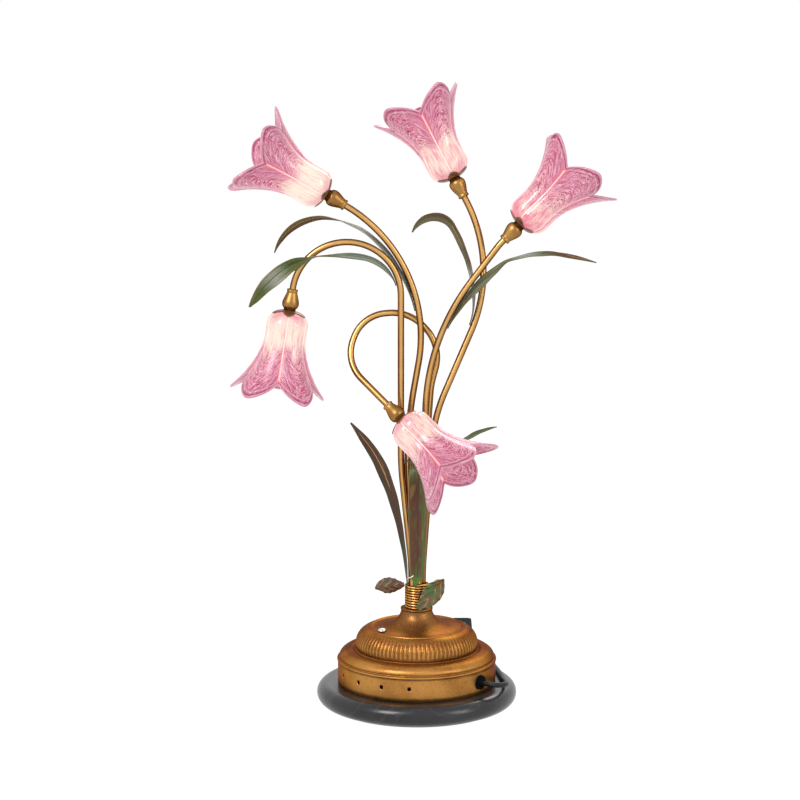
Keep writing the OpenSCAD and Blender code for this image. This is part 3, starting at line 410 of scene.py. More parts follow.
def domePaint(s):  # the same paint, with brown left in the flutes and grooves; painted shade to the sides and back, painted highlight on the front flutes' lower crests
    place = s.place()
    x, y, z = s.split(place)
    cloud = s.noise(place, 30, 4)
    grain = s.noise(place, 1100, 3, 0.6)
    flute = (y.math("ARCTAN2", x) * domeSizes["flutes"]).math("COSINE")  # 1 at the bottom of a flute
    band = z.ramp(0.056, 0.060) * z.ramp(0.072, 0.078, 1, 0)
    high = z.ramp(0.060, 0.074)
    grooves = z.ramp(0.0466, 0.0480) * z.ramp(0.0484, 0.0500, 1, 0) \
        + z.ramp(0.0545, 0.0560) * z.ramp(0.0566, 0.0585, 1, 0)
    front = (y * -12 + x * -4).ramp(-0.6, 1.1)  # painted shade: brown to the sides and the back, the lit front left lighter
    colour = s.coats(s.mix(cloud.ramp(0.35, 0.65), rgb(150, 100, 50), rgb(186, 132, 70)),
                     ((1 - front) * 0.45, rgb(106, 66, 34)),
                     (z.ramp(0.077, 0.08) * 0.66, rgb(108, 70, 44)),
                     (band * flute.ramp(-0.5, 0.9) * (high * 0.35 + 0.55), rgb(84, 42, 20)),
                     (band * high * 0.45, rgb(124, 66, 30)),
                     # worn gold on the lower flute crests, shown only on the front as a painted highlight
                     (band * flute.ramp(0.0, -0.9) * (1 - high) * front * 0.32, rgb(222, 172, 92)),
                     (grooves * 0.6, rgb(104, 54, 22)),
                     (grain.ramp(0.42, 0.7) * 0.35, rgb(214, 160, 82)),
                     (s.noise(place, 420, 3).ramp(0.56, 0.76) * 0.5, rgb(96, 54, 20)))
    return {"Base Color": colour, "Roughness": grain * 0.18 + cloud * 0.15 + 0.2,
            "Normal": s.bump(grain, 0.0003, 0.45)}


def turnedBrass(s):  # a soft tarnish on satin brass, with painted shade towards the outline
    place = s.place()
    cloud = s.noise(place, 55, 2)
    fine = s.noise(place, 900, 2)
    colour = s.coats(s.mix(cloud.ramp(0.3, 0.7), rgb(148, 108, 60), rgb(178, 136, 80)),
                     # painted shade towards the outline
                     (s.facing().ramp(0.4, 0.85) * 0.7, rgb(86, 56, 28)))
    return {"Base Color": colour, "Roughness": cloud * 0.08 + fine * 0.04 + 0.33}


goldStem = finishOf("goldStem", goldPaint, Metallic=1.0, Specular_Tint=rgb(96, 56, 20))
goldDome = finishOf("goldDome", domePaint, Metallic=0.85, Specular_Tint=rgb(120, 74, 34))
brassCup = finishOf("brassCup", turnedBrass, Metallic=1.0, Specular_Tint=rgb(110, 70, 28))
brassWound = clouded("brassWound", 240, 3, (0.35, 0.7), (176, 124, 66), (228, 178, 108), (0.15, 0.2),
                     (0.0001, 0.4), Metallic=1.0, Specular_Tint=rgb(150, 100, 50))
bronzeStar = clouded("bronzeStar", 160, 4, (0.35, 0.7), (100, 66, 42), (146, 102, 66), (0.2, 0.28),
                     (0.0002, 0.4), Metallic=0.4)
zincScrew = clouded("zincScrew", 300, 3, (0.3, 0.7), (196, 194, 188), (236, 234, 228), (0.2, 0.15),
                    (0.0001, 0.4), Metallic=1.0)


# Turned pieces

def outlinePiece(name, profile, ring):  # a closed outline of radii and heights in mm, beside the lathe's ring
    points = [((r - ring) * mm, -z * mm, 0) for r, z in reversed(profile)]
    return meshPiece(name, points, edges=[(k, (k + 1) % len(points)) for k in range(len(points))])


def lathe(s, given):  # turns the piece's outline round the upright axis
    outline = s.geo("MeshToCurve", {"Mesh": given.out("Geometry")})
    circle = s.geo("CurvePrimitiveCircle", {"Resolution": given.out("columns"), "Radius": given.out("ring")})
    return s.geo("CurveToMesh", {"Curve": circle, "Profile Curve": outline})


# Base

def arc(centre, rx, rz, start, end, steps):
    return [(centre[0] + rx * math.cos(math.radians(a)), centre[1] + rz * math.sin(math.radians(a)))
            for a in np.linspace(start, end, steps + 1)]


def domeProfile():  # radius and height in mm, up the outside and down the inside
    skirt = [(79, 22), (79, 26), (79, 32), (79, 38), (79, 42), (79, 44.8)]
    bead = arc((78.8, 45.8), 0.9, 1, -60, 90, 8) + [(77.1, 47.1), (76.8, 47.8)]
    roll = arc((64, 48.6), 13.5, 8, 0, 84, 26) + [(64.4, 56.7), (63.4, 55.8), (62.2, 55.6), (59.9, 56)]
    band = arc((46, 62), 15, 15.5, -24, 84, 38) + [(47.6, 78.1), (46.8, 78.6), (46.1, 78.1)]
    flare = arc((45.5, 96), 30, 18.5, -92, -180, 30)
    neck = [(16, 96), (16, 97.5), (8, 97.5), (8, 96.3), (14.3, 96.3)]
    inside = arc((45.5, 96), 31.2, 19.7, -180, -92, 10) + arc((46, 62), 13.8, 14.3, 84, -24, 12) \
        + arc((64, 48.6), 12.3, 6.8, 84, 0, 8) + [(75.6, 47.4), (77.8, 44), (77.8, 22)]
    return skirt + bead + roll + band + flare + neck + inside


def drill(s, sides, diameter, depth):
    return s.geo("MeshCylinder", {"Vertices": sides, "Radius": diameter / 2, "Depth": depth * mm})


def around(angle, radius, height):  # a spot in metres, from an angle in radians and sizes in mm
    return (radius * mm * math.cos(angle), radius * mm * math.sin(angle), height * mm)


def domeTree(sizes):  # turns the profile round, presses the flutes and drills the holes
    s, given = geometryTree("spunDome", columns="Int", ring="Float", skirt="Float", flutes="Float",
                            fluteDepth="Float", vents="Int", ventDiameter="Float", ventStep="Float",
                            ventFirst="Float", ventHeight="Float")
    shell = lathe(s, given)
    x, y, z = s.split(s.geo("InputPosition"))
    radius = (x * x + y * y).math("SQRT")
    rise = (z - 0.062) / 0.0155
    reach = (radius - 0.046) / 0.015
    slope = rise.math("ARCTAN2", reach)  # angle up the band's round face
    near = (rise * rise + reach * reach).ramp(0.6, 0.8) * radius.ramp(0.046, 0.048)
    band = slope.ramp(-0.35, 0.0) * slope.ramp(0.75, 1.1, 1, 0) * near
    wave = (y.math("ARCTAN2", x) * given.out("flutes")).math("COSINE")
    press = band * ((wave + 1) / 2) ** 1.6 * given.out("fluteDepth") * -1
    shell = s.geo("SetPosition", {"Geometry": shell, "Offset": s.times(s.geo("InputNormal"), press)})

    # two rows of vents, the bush's hole and the two screws' holes
    vents, skirt = given.out("vents"), given.out("skirt")
    index = s.geo("InputIndex")
    angle = given.out("ventFirst") - index.math("MODULO", vents) * given.out("ventStep") \
        + (index / vents).math("FLOOR") * math.pi - math.pi / 2
    sheen_patch = s.vector(angle.math("COSINE") * skirt, angle.math("SINE") * skirt, given.out("ventHeight"))
    points = s.geo("Points", {"Count": vents * 2, "Position": sheen_patch})
    ventDrill = drill(s, 24, given.out("ventDiameter"), 8)
    vent = s.geo("InstanceOnPoints", {"Points": points, "Instance": ventDrill,
                                      "Rotation": s.vector(0.0, math.pi / 2, angle)})
    a = math.radians(sizes["bushAngle"] - 90)
    holes = [s.geo("Transform", {
        "Geometry": drill(s, 32, sizes["bushHole"] * mm, 10), "Rotation": (0, math.pi / 2, a),
        "Translation": around(a, sizes["skirt"], sizes["bushHeight"])})]
    for azimuth in sizes["screwAngles"]:
        a = math.radians(azimuth - 90)
        holes.append(s.geo("Transform", {
            "Geometry": drill(s, 24, sizes["screwHole"] * mm, 12),
            "Translation": around(a, sizes["screwCircle"], sizes["screwHeight"])}))
    cutters = s.geo("JoinGeometry", {"Geometry": vent})
    for hole in holes:
        s.tree.links.new(hole.socket, cutters.socket.node.inputs[0])
    cutters = s.geo("RealizeInstances", {"Geometry": cutters})
    drilled = s.add("GeometryNodeMeshBoolean", {"operation": "DIFFERENCE"},
                    {"Mesh 1": shell, "Mesh 2": cutters})
    return closeTree(s, drilled, given)


def makeDome(sizes):
    dome = outlinePiece("spunDome", domeProfile(), sizes["ring"])
    lengths = {key: sizes[key] * mm for key in ("ring", "skirt", "fluteDepth", "ventDiameter", "ventHeight")}
    angles = {key: math.radians(sizes[key]) for key in ("ventStep", "ventFirst")}
    grow(dome, domeTree(sizes), columns=sizes["columns"], flutes=float(sizes["flutes"]), vents=sizes["vents"],
         material=goldDome, **lengths, **angles)
    hold(dome, ["base_dome"])
    print("dome made,", len(dome.data.polygons), "faces", [round(v, 4) for v in dome.dimensions])


makeDome(domeSizes)


def polishedStone(s):
    place = s.place()
    cloud = s.noise(place, 26, 5)
    speck = s.noise(place, 520, 3, 0.7)
    vein = abs(s.noise(place, 9, 5, 0.6, 1.2) - 0.5).ramp(0.0, 0.02, 1, 0)
    colour = s.coats(s.mix(cloud.ramp(0.3, 0.7), rgb(26, 26, 29), rgb(40, 40, 43)),
                     (speck.ramp(0.66, 0.74) * 0.4, rgb(70, 70, 74)),
                     (vein * 0.12, rgb(110, 110, 112)))
    return {"Base Color": colour, "Roughness": cloud * 0.1 + speck * 0.08 + 0.2,
            "Normal": s.bump(cloud, 0.0004, 0.2)}


def feltPad(s):
    fibre = s.noise(s.scaled(s.place(), 1, 1, 3), 1400, 4, 0.7)
    return {"Base Color": s.mix(fibre.ramp(0.3, 0.7), rgb(34, 34, 36), rgb(66, 66, 68)), "Roughness": 0.95,
            "Normal": s.bump(fibre, 0.0005, 0.8)}


def windingTape(s):  # varnished tape round the ring transformer
    place = s.place()
    x, y, z = s.split(place)
    wraps = (y.math("ARCTAN2", x) * 30 + z * 180).math("SINE")
    return {"Base Color": s.mix(wraps.ramp(-0.6, 0.8), rgb(176, 154, 84), rgb(214, 196, 128)),
            "Roughness": s.noise(place, 80, 3) * 0.2 + 0.35, "Normal": s.bump(wraps, 0.0002, 0.6)}


def rockerPlastic(s):
    place = s.place()
    return {"Base Color": s.mix(s.noise(place, 900, 2).ramp(0.4, 0.6), rgb(40, 40, 43), rgb(50, 50, 53)),
            "Roughness": s.noise(place, 300, 2) * 0.1 + 0.3}


keepCad(finishOf("blackStone", polishedStone, Specular_IOR_Level=0.35, Coat_Weight=0.15, Coat_Roughness=0.12),
        "stone_base")
keepCad(finishOf("feltPad", feltPad), "felt_pad")
keepCad(zincScrew, "shoulder_screws", "tie_rod", "tie_nuts", "transformer_strap", "plug_pins")
keepCad(finishOf("windingTape", windingTape), "transformer")
keepCad(clouded("whiteNylon", 120, 3, (0.3, 0.7), (222, 220, 208), (240, 238, 230), (0.15, 0.4),
                (0.0001, 0.3)), "wiring_block")
keepCad(blackPlastic, "cord_bush", "switch_base", "switch_cover", "plug_body")
keepCad(finishOf("rockerPlastic", rockerPlastic), "switch_rocker")
print("base finished")


# Stems

# In mm. Feed, direction of the bend, bend radius and angle, as on a tube bender
stemShape = {
    "diameter": 6.4, "footRing": 6, "footHeight": 99, "cupSeat": 6.9, "steps": 240, "sides": 28,
    "footAngle": [-119, 97, 25, -47, 169],
    "headTurn": [52, 49, 35, 60, 16],
    "bends": [
        [(27, 180, 300, 2), (98, 0, 400, 12), (26, 183, 150, 69), (1, 0, 1, 0)],
        [(27, 0, 300, 4), (116, 16, 150, 20), (66, 172, 150, 51), (4, 0, 1, 0)],
        [(27, 0, 300, 2), (164, -4, 220, 35), (42, 40, 40, 12), (1, 0, 1, 0)],
        [(27, 180, 150, 6), (85, 0, 300, 6), (153, 184, 53, 171), (1, 0, 1, 0)],
        [(27, 0, 300, 4), (70, 92, 300, 3), (80, 0, 80, 11), (10, 180, 42, 60), (3, 180, 42, 50),
         (3, 196, 36, 65), (3, 202, 38, 64), (37, 0, 1, 0)]],
}


def bent(direction, radius, angle):
    a = math.radians(angle)
    shift = move(radius * (1 - math.cos(a)), 0, radius * math.sin(a))
    return turn("Z", direction) @ shift @ turn("Y", angle) @ turn("Z", -direction)


def stemStart(i):
    a = math.radians(stemShape["footAngle"][i])
    ring = stemShape["footRing"]
    return move(ring * math.sin(a), -ring * math.cos(a), stemShape["footHeight"])


def stemAt(i, distance):  # frame at a distance along the stem
    here = stemStart(i)
    for feed, direction, radius, angle in stemShape["bends"][i]:
        if distance <= feed:
            return here @ move(0, 0, distance)
        here = here @ move(0, 0, feed)
        distance -= feed
        arcLength = radius * math.radians(angle)
        if distance <= arcLength:
            return here @ bent(direction, radius, math.degrees(distance / radius))
        here = here @ bent(direction, radius, angle)
        distance -= arcLength
    return here @ move(0, 0, distance)


def stemLength(i):
    return sum(feed + radius * math.radians(angle) for feed, _, radius, angle in stemShape["bends"][i])


def headFrame(i):  # on the stem's end, turned so that the petals stand as they should
    return stemAt(i, stemLength(i)) @ turn("Z", stemShape["headTurn"][i])


def makeStems(shape):
    for i, letter in enumerate(letters):
        total, steps = stemLength(i) + shape["cupSeat"], shape["steps"]
        line = [stemAt(i, total * k / steps).translation * mm for k in range(steps + 1)]
        stem = tubePiece("stem." + letter, line, shape["diameter"] * mm, shape["sides"], goldStem)
        hold(stem, ["stem_" + letter])
    keepCad(brassCup, "stem_socket")
    print("stems made")


makeStems(stemShape)


# The profile's radius and height: bore, lip, acorn, round shoulder, collar up to the star
cupShape = {
    "ring": 20, "columns": 56,
    "profile": [(3.05, 7), (3.3, 7), (3.3, 0), (4.7, 0), (5.3, 0.35), (5.5, 1.2), (5.3, 2), (5, 2.6),
                (5.2, 3.8), (5.9, 5.8), (6.7, 8), (7.4, 10), (7.9, 11.8), (8.2, 13.4), (8.2, 14.8), (8, 16),
                (7.6, 17.1), (7, 18), (6.4, 18.6), (5.9, 19), (5.8, 20.4), (3.05, 20.4)],
}


def latheTree():
    s, given = geometryTree("turned", columns="Int", ring="Float")
    return closeTree(s, lathe(s, given), given)


def makeCups(shape):
    turned = latheTree()
    for i, letter in enumerate(letters):
        cup = outlinePiece("cup." + letter, shape["profile"], shape["ring"])
        grow(cup, turned, columns=shape["columns"], ring=shape["ring"] * mm, material=brassCup)
        place = headFrame(i)
        place.translation *= mm
        cup.data.transform(place)
        hold(cup, ["cup_" + letter])
    print("cups turned")


makeCups(cupShape)


windingSize = {"wire": 2.1, "radius": 10.95, "pitch": 2.6, "turns": 9, "bottom": 98.65, "sway": 0.12}


def windingTree():
    s, given = geometryTree("handWinding", wire="Float", radius="Float", turns="Float", height="Float",
                            sway="Float")
    coil = s.geo("CurveSpiral", {"Resolution": 64, "Rotations": given.out("turns"),
                                 "Start Radius": given.out("radius"), "End Radius": given.out("radius"),
                                 "Height": given.out("height")})
    wobble = s.add("ShaderNodeVectorMath", {"operation": "SUBTRACT"}, {
        0: s.noise(s.geo("InputPosition"), 90, 1).out("Color"), 1: (0.5, 0.5, 0.5)})
    coil = s.geo("SetPosition", {"Geometry": coil, "Offset": s.times(wobble, given.out("sway"))})
    ring = s.geo("CurvePrimitiveCircle", {"Resolution": 14, "Radius": given.out("wire")})
    tube = s.geo("CurveToMesh", {"Curve": coil, "Profile Curve": ring, "Fill Caps": True})
    return closeTree(s, tube, given)


def makeWinding(size):
    obj = meshPiece("wireWinding", [(0, 0, 0)])
    grow(obj, windingTree(), wire=size["wire"] / 2 * mm, radius=size["radius"] * mm,
         turns=float(size["turns"]), height=size["pitch"] * size["turns"] * mm, sway=size["sway"] * mm,
         material=brassWound)
    obj.data.transform(move(0, 0, size["bottom"] * mm) @ turn("Z", -90))
    hold(obj, ["wire_winding"])
    print("winding made")


makeWinding(windingSize)


tackShape = {"diameter": 0.0014, "line": [(-0.0096, -0.0072, 0.1275), (-0.0078, -0.0088, 0.1292),
                                          (-0.0055, -0.0094, 0.1302), (-0.003, -0.0094, 0.132)]}


def makeTack(shape):  # a bent end of solder above the winding
    solder = clouded("solder", 500, 3, (0.3, 0.7), (206, 172, 156), (240, 222, 210), (0.2, 0.3),
                     (0.0003, 0.6), Metallic=0.6)
    hold(tubePiece("solderTack", smoothRoute(shape["line"], 4), shape["diameter"], 10, solder))


makeTack(tackShape)


# Lofted skins

def loft(name, points, columns, material, mapName=None, corner=None, joined=False, capped=False):
    # points lie in closed rings; corner(row, column, step) gives a corner of the map, step 1 to the right
    rows = len(points) // columns
    faces, corners = [], []
    for i in range(rows if joined else rows - 1):
        j = (i + 1) % rows
        for c in range(columns):
            d = (c + 1) % columns
            faces.append((i * columns + c, i * columns + d, j * columns + d, j * columns + c))
            if corner:
                corners += [corner(i, c, 0), corner(i, c, 1), corner(i + 1, c, 1), corner(i + 1, c, 0)]
    if capped:  # flat strips across each end
        for row in (0, rows - 1):
            for c in range(columns // 2 - 1):
                quad = [c, c + 1, columns - 2 - c, columns - 1 - c]
                if row == 0:
                    quad.reverse()
                faces.append(tuple(row * columns + k for k in quad))
                corners += [corner(row, k, 0) for k in quad]
    return meshPiece(name, points, faces, material=material, mapName=mapName, corners=corners)


# Glass flowers

# In mm. height: above the cup's foot, along the flower's axis. cream: how far each flower's pale body goes
shadeShape = {
    "petals": 5, "columns": 26, "footRows": 9, "bodyRows": 44, "length": 83.8, "radius": 21, "mouth": 48.6,
    "foot": 14, "hole": 3.2, "flareFrom": 28, "flarePower": 1.8, "notch": 67.8, "crease": 1.6, "wall": 2.4,
    "height": 21.2, "mapMargin": 0.02, "cream": (0.9, 0.5, 0.1, 0.75, 0.5),
}


def petalGlass(cream):  # pink foot, cream body lit from inside, marbled flare
    def recipe(s):
        u, v = s.uvMap("petal")
        petal = u.math("FLOOR")
        q = (u - petal - 0.02) / 0.48 - 1  # -1 and 1 at the creases
        side = abs(q)
        t = 1 - abs(v - 1)  # 0 at the foot, 1 at the rim
        inside = v.ramp(1.0, 1.02)
        across = q * t.ramp(0.4, 1.0, 1.3, 2.8)  # centimetres from the petal's middle
        along = t * 9.5
        flow = s.grain(across * 0.55, along * 0.4, petal * 3.7, 2)
        strokes = s.grain(across * 6.5 + flow * 4, along * 0.7, petal * 4.4, 4, 0.62, 0.3)
        arch = along + across * across * 0.42 + flow * 1.6 + strokes * 0.25  # nested arches, as in wood
        hairs = s.grain(arch * 9.5, across * 1.9 - flow * 3, petal * 2.3, 4, 0.66, 1.1)
        thin = s.grain(arch * 14, across * 3.2 + flow * 4, petal * 5.9 + 3, 3, 0.62, 0.8)
        cloud = s.grain(across * 0.9, along * 0.8, petal * 7.1, 3, 0.55)
        edge = t + (flow - 0.5) * 0.22 + (strokes - 0.5) * 0.22
        warm = (edge + side * side * 0.05).ramp(0.06, 0.3) * (cloud.ramp(0.3, 0.6) * (1 - cream) + cream)
        swirl = (edge + (1 - cream) * 0.12).ramp(0.46, 0.66)
        hot = side.ramp(0.74, 0.95) * t.ramp(0.4, 0.75, 0.2, 0.8) * t.ramp(0.9, 1.0, 1, 0.3)
        crease = side.ramp(0.94, 0.965) * t.ramp(0.93, 0.97, 1, 0) * t.ramp(0.05, 0.12)
        rim = t + (thin - 0.5) * 0.02
        pink = s.mix(cream, rgb(240, 134, 156), rgb(250, 172, 182))
        foot = s.mix(t.ramp(0.0, 0.2), rgb(238, 118, 142), pink)
        body = s.coats(
            foot, (warm * (0.55 + 0.42 * cream), rgb(255, 240, 220)),
            (strokes.ramp(0.5, 0.62) * (0.85 - 0.62 * cream), rgb(228, 92, 128)),
            (strokes.ramp(0.44, 0.34) * t.ramp(0.08, 0.2) * (0.25 + 0.35 * cream), rgb(255, 236, 224)))
        flare = s.coats(
            body, ((edge + side * 0.05).ramp(0.44, 0.66) * 0.9, rgb(244, 146, 164)),
            ((edge + side * 0.04 + cloud * 0.1).ramp(0.58, 0.8), rgb(226, 130, 162)),
            ((edge + side * 0.08).ramp(0.78, 1.08) * 0.75, rgb(184, 54, 112)))
        marbled = s.coats(
            flare, (thin.ramp(0.5, 0.58) * swirl * 0.75, rgb(190, 60, 108)),
            (thin.ramp(0.46, 0.39) * swirl * 0.8, rgb(244, 206, 216)),
            (hairs.ramp(0.52, 0.58) * swirl * 0.95, rgb(156, 28, 80)),
            (hairs.ramp(0.45, 0.39) * swirl * 0.8, rgb(246, 212, 222)))
        # painted light: the clear glass along the creases shows the bulb's light shining through
        crease_light = s.mix(t.ramp(0.55, 0.8), rgb(255, 246, 232), rgb(255, 214, 196))
        ribs = s.coats(
            marbled, (hot * (strokes * 0.8 + 0.4), rgb(232, 96, 128)),
            (crease * (strokes * 0.7 + 0.45), crease_light))
        colour = s.coats(
            ribs, (rim.ramp(0.965, 0.98) * (cloud.ramp(0.35, 0.6) * 0.7 + 0.2), rgb(150, 28, 76)),
            (rim.ramp(0.94, 0.946) * rim.ramp(0.95, 0.962, 1, 0) * hairs.ramp(0.4, 0.6) * 0.6,
             rgb(244, 214, 222)),
            (t.ramp(0.988, 0.996) * 0.7, rgb(226, 160, 182)))
        glow = t.ramp(0.0, 0.3, 0.4, 0.68) * t.ramp(0.5, 0.85, 1.0, 0.6) + inside * t.ramp(0.3, 0.7, 0.12, 0)
        black = (0, 0, 0, 1)
        return {"Base Color": s.mix(1 - glow, black, colour), "Emission Color": s.mix(glow, black, colour),
                "Roughness": thin * 0.12 + 0.12, "Normal": s.bump(hairs * swirl + flow, 0.0008, 0.3)}
    return recipe


def shadeOutline(shape, row, q):  # radius and height of the outer face; q is -1 and 1 at the creases
    if row <= shape["footRows"]:
        a = math.pi / 2 * row / shape["footRows"]
        r = shape["hole"] + (shape["radius"] - shape["hole"]) * math.sin(a)
        z = shape["foot"] * (1 - math.cos(a))
    else:
        drop = 0.7 * (math.sqrt(q * q + 0.02) - 0.141) / 0.869 + 0.3 * q * q  # 0 at the tip, 1 in the notch
        rim = shape["length"] - (shape["length"] - shape["notch"]) * drop
        z = shape["foot"] + (rim - shape["foot"]) * (row - shape["footRows"]) / shape["bodyRows"]
        flare = max(0, (z - shape["flareFrom"]) / (shape["length"] - shape["flareFrom"]))
        r = shape["radius"] + (shape["mouth"] - shape["radius"]) * flare ** shape["flarePower"]
    r -= shape["crease"] * abs(q) ** 3 * min(1, z / shape["foot"]) * (1 + z / shape["length"])
    return max(shape["hole"], r), z


def shadeRings(shape, rows, columns):  # up the outer face, over the rim in three steps, down the inner face
    outer = np.zeros((rows, columns, 3))
    for row in range(rows):
        for c in range(columns):
            r, z = shadeOutline(shape, row, 2 * (c % shape["columns"]) / shape["columns"] - 1)
            a = 2 * math.pi * c / columns
            outer[row, c] = (r * math.cos(a), r * math.sin(a), z)
    along = np.gradient(outer, axis=0)
    normal = np.cross(np.roll(outer, -1, 1) - np.roll(outer, 1, 1), along)
    normal /= np.maximum(np.linalg.norm(normal, axis=2, keepdims=True), 1e-9)
    normal[0] = (0, 0, -1)
    inner = outer - normal * shape["wall"]
    inner[0, :, :2] = outer[0, :, :2]
    middle = (outer[-1] + inner[-1]) / 2
    up = along[-1] / np.linalg.norm(along[-1], axis=1, keepdims=True)
    rim = [middle + (outer[-1] - middle) * math.cos(a) + up * shape["wall"] / 2 * math.sin(a)
           for a in (math.pi / 4, math.pi / 2, 3 * math.pi / 4)]
    return outer, np.concatenate([outer, np.array(rim), inner[::-1]])


def makeShade(i, shape):
    n, margin = shape["columns"], shape["mapMargin"]
    outer, rings = shadeRings(shape, shape["footRows"] + shape["bodyRows"] + 1, n * shape["petals"])
    heights = np.linalg.norm(np.diff(outer, axis=0), axis=2).mean(1).cumsum()
    real = np.concatenate([[0], heights / heights[-1]])  # share of the real length at each row
    shares = list(real) + [1.0, 1.0, 1.0] + list(2 - real[::-1]) + [2.0]

    def corner(row, column, step):  # each petal has its own tile of the map
        across = (1 - 2 * margin) / n
        return column // n + i * 5 + margin + across * (column % n) + step * across, shares[row]

    place = headFrame(i) @ move(0, 0, shape["height"])
    glass = finishOf("shadeGlass." + letters[i], petalGlass(shape["cream"][i]), Emission_Strength=1.0,
                     Coat_Weight=0.3, Coat_Roughness=0.05)
    shade = loft("glassFlower." + letters[i], [place @ Vector(p) * mm for p in rings.reshape(-1, 3)],
                 n * shape["petals"], glass, "petal", corner, joined=True)
    hold(shade, ["glass_shade_" + letters[i]])


for i in range(5):
    makeShade(i, shadeShape)
print("glass flowers made")


sepalShape = {"count": 5, "columns": 100, "rows": 12, "tip": 17, "notch": 10, "hole": 3.2, "rise": 4.5,
              "bend": 2.6, "thickness": 0.6, "height": 20.5}


def makeSepals(i, shape):
    columns, rows, hole = shape["columns"], shape["rows"], shape["hole"]
    grid = np.zeros((rows, columns, 3))
    for c in range(columns):
        a = 2 * math.pi * c / columns
        q = abs(((c * shape["count"] / columns) % 1) * 2 - 1)  # 1 in the middle of a sepal
        reach = shape["notch"] + (shape["tip"] - shape["notch"]) * (1 - (1 - q) ** 1.25)
        for row in range(rows):
            r = hole + (reach - hole) * row / (rows - 1)
            z = (shape["rise"] + 0.2 * (1 - q)) * (r / shape["tip"]) ** shape["bend"]
            grid[row, c] = (r * math.cos(a), r * math.sin(a), z)
    rings = np.concatenate([grid, grid[::-1] + np.array([0, 0, shape["thickness"]])])
    place = headFrame(i) @ move(0, 0, shape["height"])
    star = loft("sepalStar." + letters[i], [place @ Vector(p) * mm for p in rings.reshape(-1, 3)], columns,
                bronzeStar, joined=True)
    hold(star, ["sepals_" + letters[i]])


for i in range(5):
    makeSepals(i, sepalShape)


def bulbGlass(s):
    cloud = s.noise(s.place(), 200, 2)
    return {"Base Color": s.mix(cloud.ramp(0.3, 0.7), rgb(255, 240, 214), rgb(255, 250, 236)),
            "Emission Color": s.mix(cloud.ramp(0.3, 0.7), rgb(255, 214, 160), rgb(255, 232, 196)),
            "Roughness": cloud * 0.05 + 0.1}


steatite = clouded("steatite", 700, 3, (0.4, 0.7), (238, 234, 222), (214, 208, 192), (0.2, 0.4),
                   (0.0001, 0.3))
keepCad(steatite, *["lamp_holder_" + letter for letter in letters])
keepCad(finishOf("litBulb", bulbGlass, Emission_Strength=6.0), *["bulb_" + letter for letter in letters])
print("sepals, holders and bulbs finished")


# Leaves

# What a leaf's paint has when it says nothing; -1 and a streak past 1 mean none
plainPaint = {"greyTo": -1, "grey": 0, "sheenAt": -1, "sheen": 0, "streak": (1.1, 1.2), "foot": -1}


def leafPaint(own, length):  # brushed glazes, grey lower part, a painted sheen patch, midrib and rubbed edges
    paint = {**plainPaint, **own}
    redAt, redWide, redFrom, redTo, redness = paint["red"]
    streakFrom, streakTo = paint["streak"]
    greyTo, foot = paint["greyTo"], paint["foot"]

    def recipe(s):
        u, share = s.uvMap("blade")
        v, seed = share * length, float(paint["seed"])
        side = abs(u * 2 - 1)
        brush = s.grain(u * 3.6, v * 1.3, seed, 3, 0.55, 0.3)
        bristle = s.grain(u * 12, v * 1.1, seed + 5, 3, 0.55, 0.2)
        patch = s.grain(u * 2.4, v * 4, seed + 9, 3, 0.6, 0.5)
        silk = s.grain(u * 8, v * 0.6, seed + 13, 2)
        red = (1 - abs(u - redAt) / redWide).ramp(0.0, 0.5) * share.ramp(redFrom - 0.08, redFrom + 0.08) \
            * share.ramp(redTo - 0.08, redTo + 0.08, 1, 0)
        grey = s.mix(silk.ramp(0.4, 0.6), rgb(78, 86, 78), rgb(150, 154, 146))
        # painted sheen: a whitish patch across the blade at sheenAt
        sheen_patch = (1 - abs(share - paint["sheenAt"] + silk * 0.1 - 0.05) / 0.12).ramp(0.0, 1.0)
        streak = share.ramp(streakFrom, streakFrom + 0.05) * share.ramp(streakTo - 0.05, streakTo, 1, 0)
        edge = side.ramp(0.88, 0.97) * patch.ramp(0.34, 0.5)
        colour = s.coats(
            s.mix(brush.ramp(0.4, 0.6), rgb(*paint["main"]), rgb(*paint["second"])),
            (red * patch.ramp(0.3, 0.5) * redness, rgb(84, 46, 26)),
            (bristle.ramp(0.54, 0.62) * paint["striped"], rgb(92, 50, 34)),
            (bristle.ramp(0.44, 0.36) * 0.45, rgb(42, 52, 28)),
            (patch.ramp(0.6, 0.7) * 0.4, rgb(150, 126, 66)),
            (share.ramp(greyTo - 0.12, greyTo + 0.04, 1, 0) * paint["grey"], grey),
            (sheen_patch * (silk.ramp(0.3, 0.6) * 0.6 + 0.4) * paint["sheen"], rgb(222, 222, 214)),
            (side.ramp(0.12, 0.02) * 0.6, rgb(44, 36, 24)),
            (streak * side.ramp(0.1, 0.04) * 0.9, rgb(186, 142, 96)),
            (share.ramp(foot - 0.02, foot + 0.01, 1, 0) * 0.85, rgb(74, 116, 44)),
            (edge * paint["edged"], rgb(168, 108, 72)))
        return {"Base Color": colour, "Roughness": bristle * 0.2 + 0.34, "Metallic": brush * 0.15,
                "Normal": s.bump(bristle + silk * 0.6 + side * 0.4, 0.0005, 0.5)}
    return finishOf("leafPaint." + str(paint["seed"]), recipe, Specular_IOR_Level=0.35, Coat_Weight=0.06,
                    Coat_Roughness=0.25)


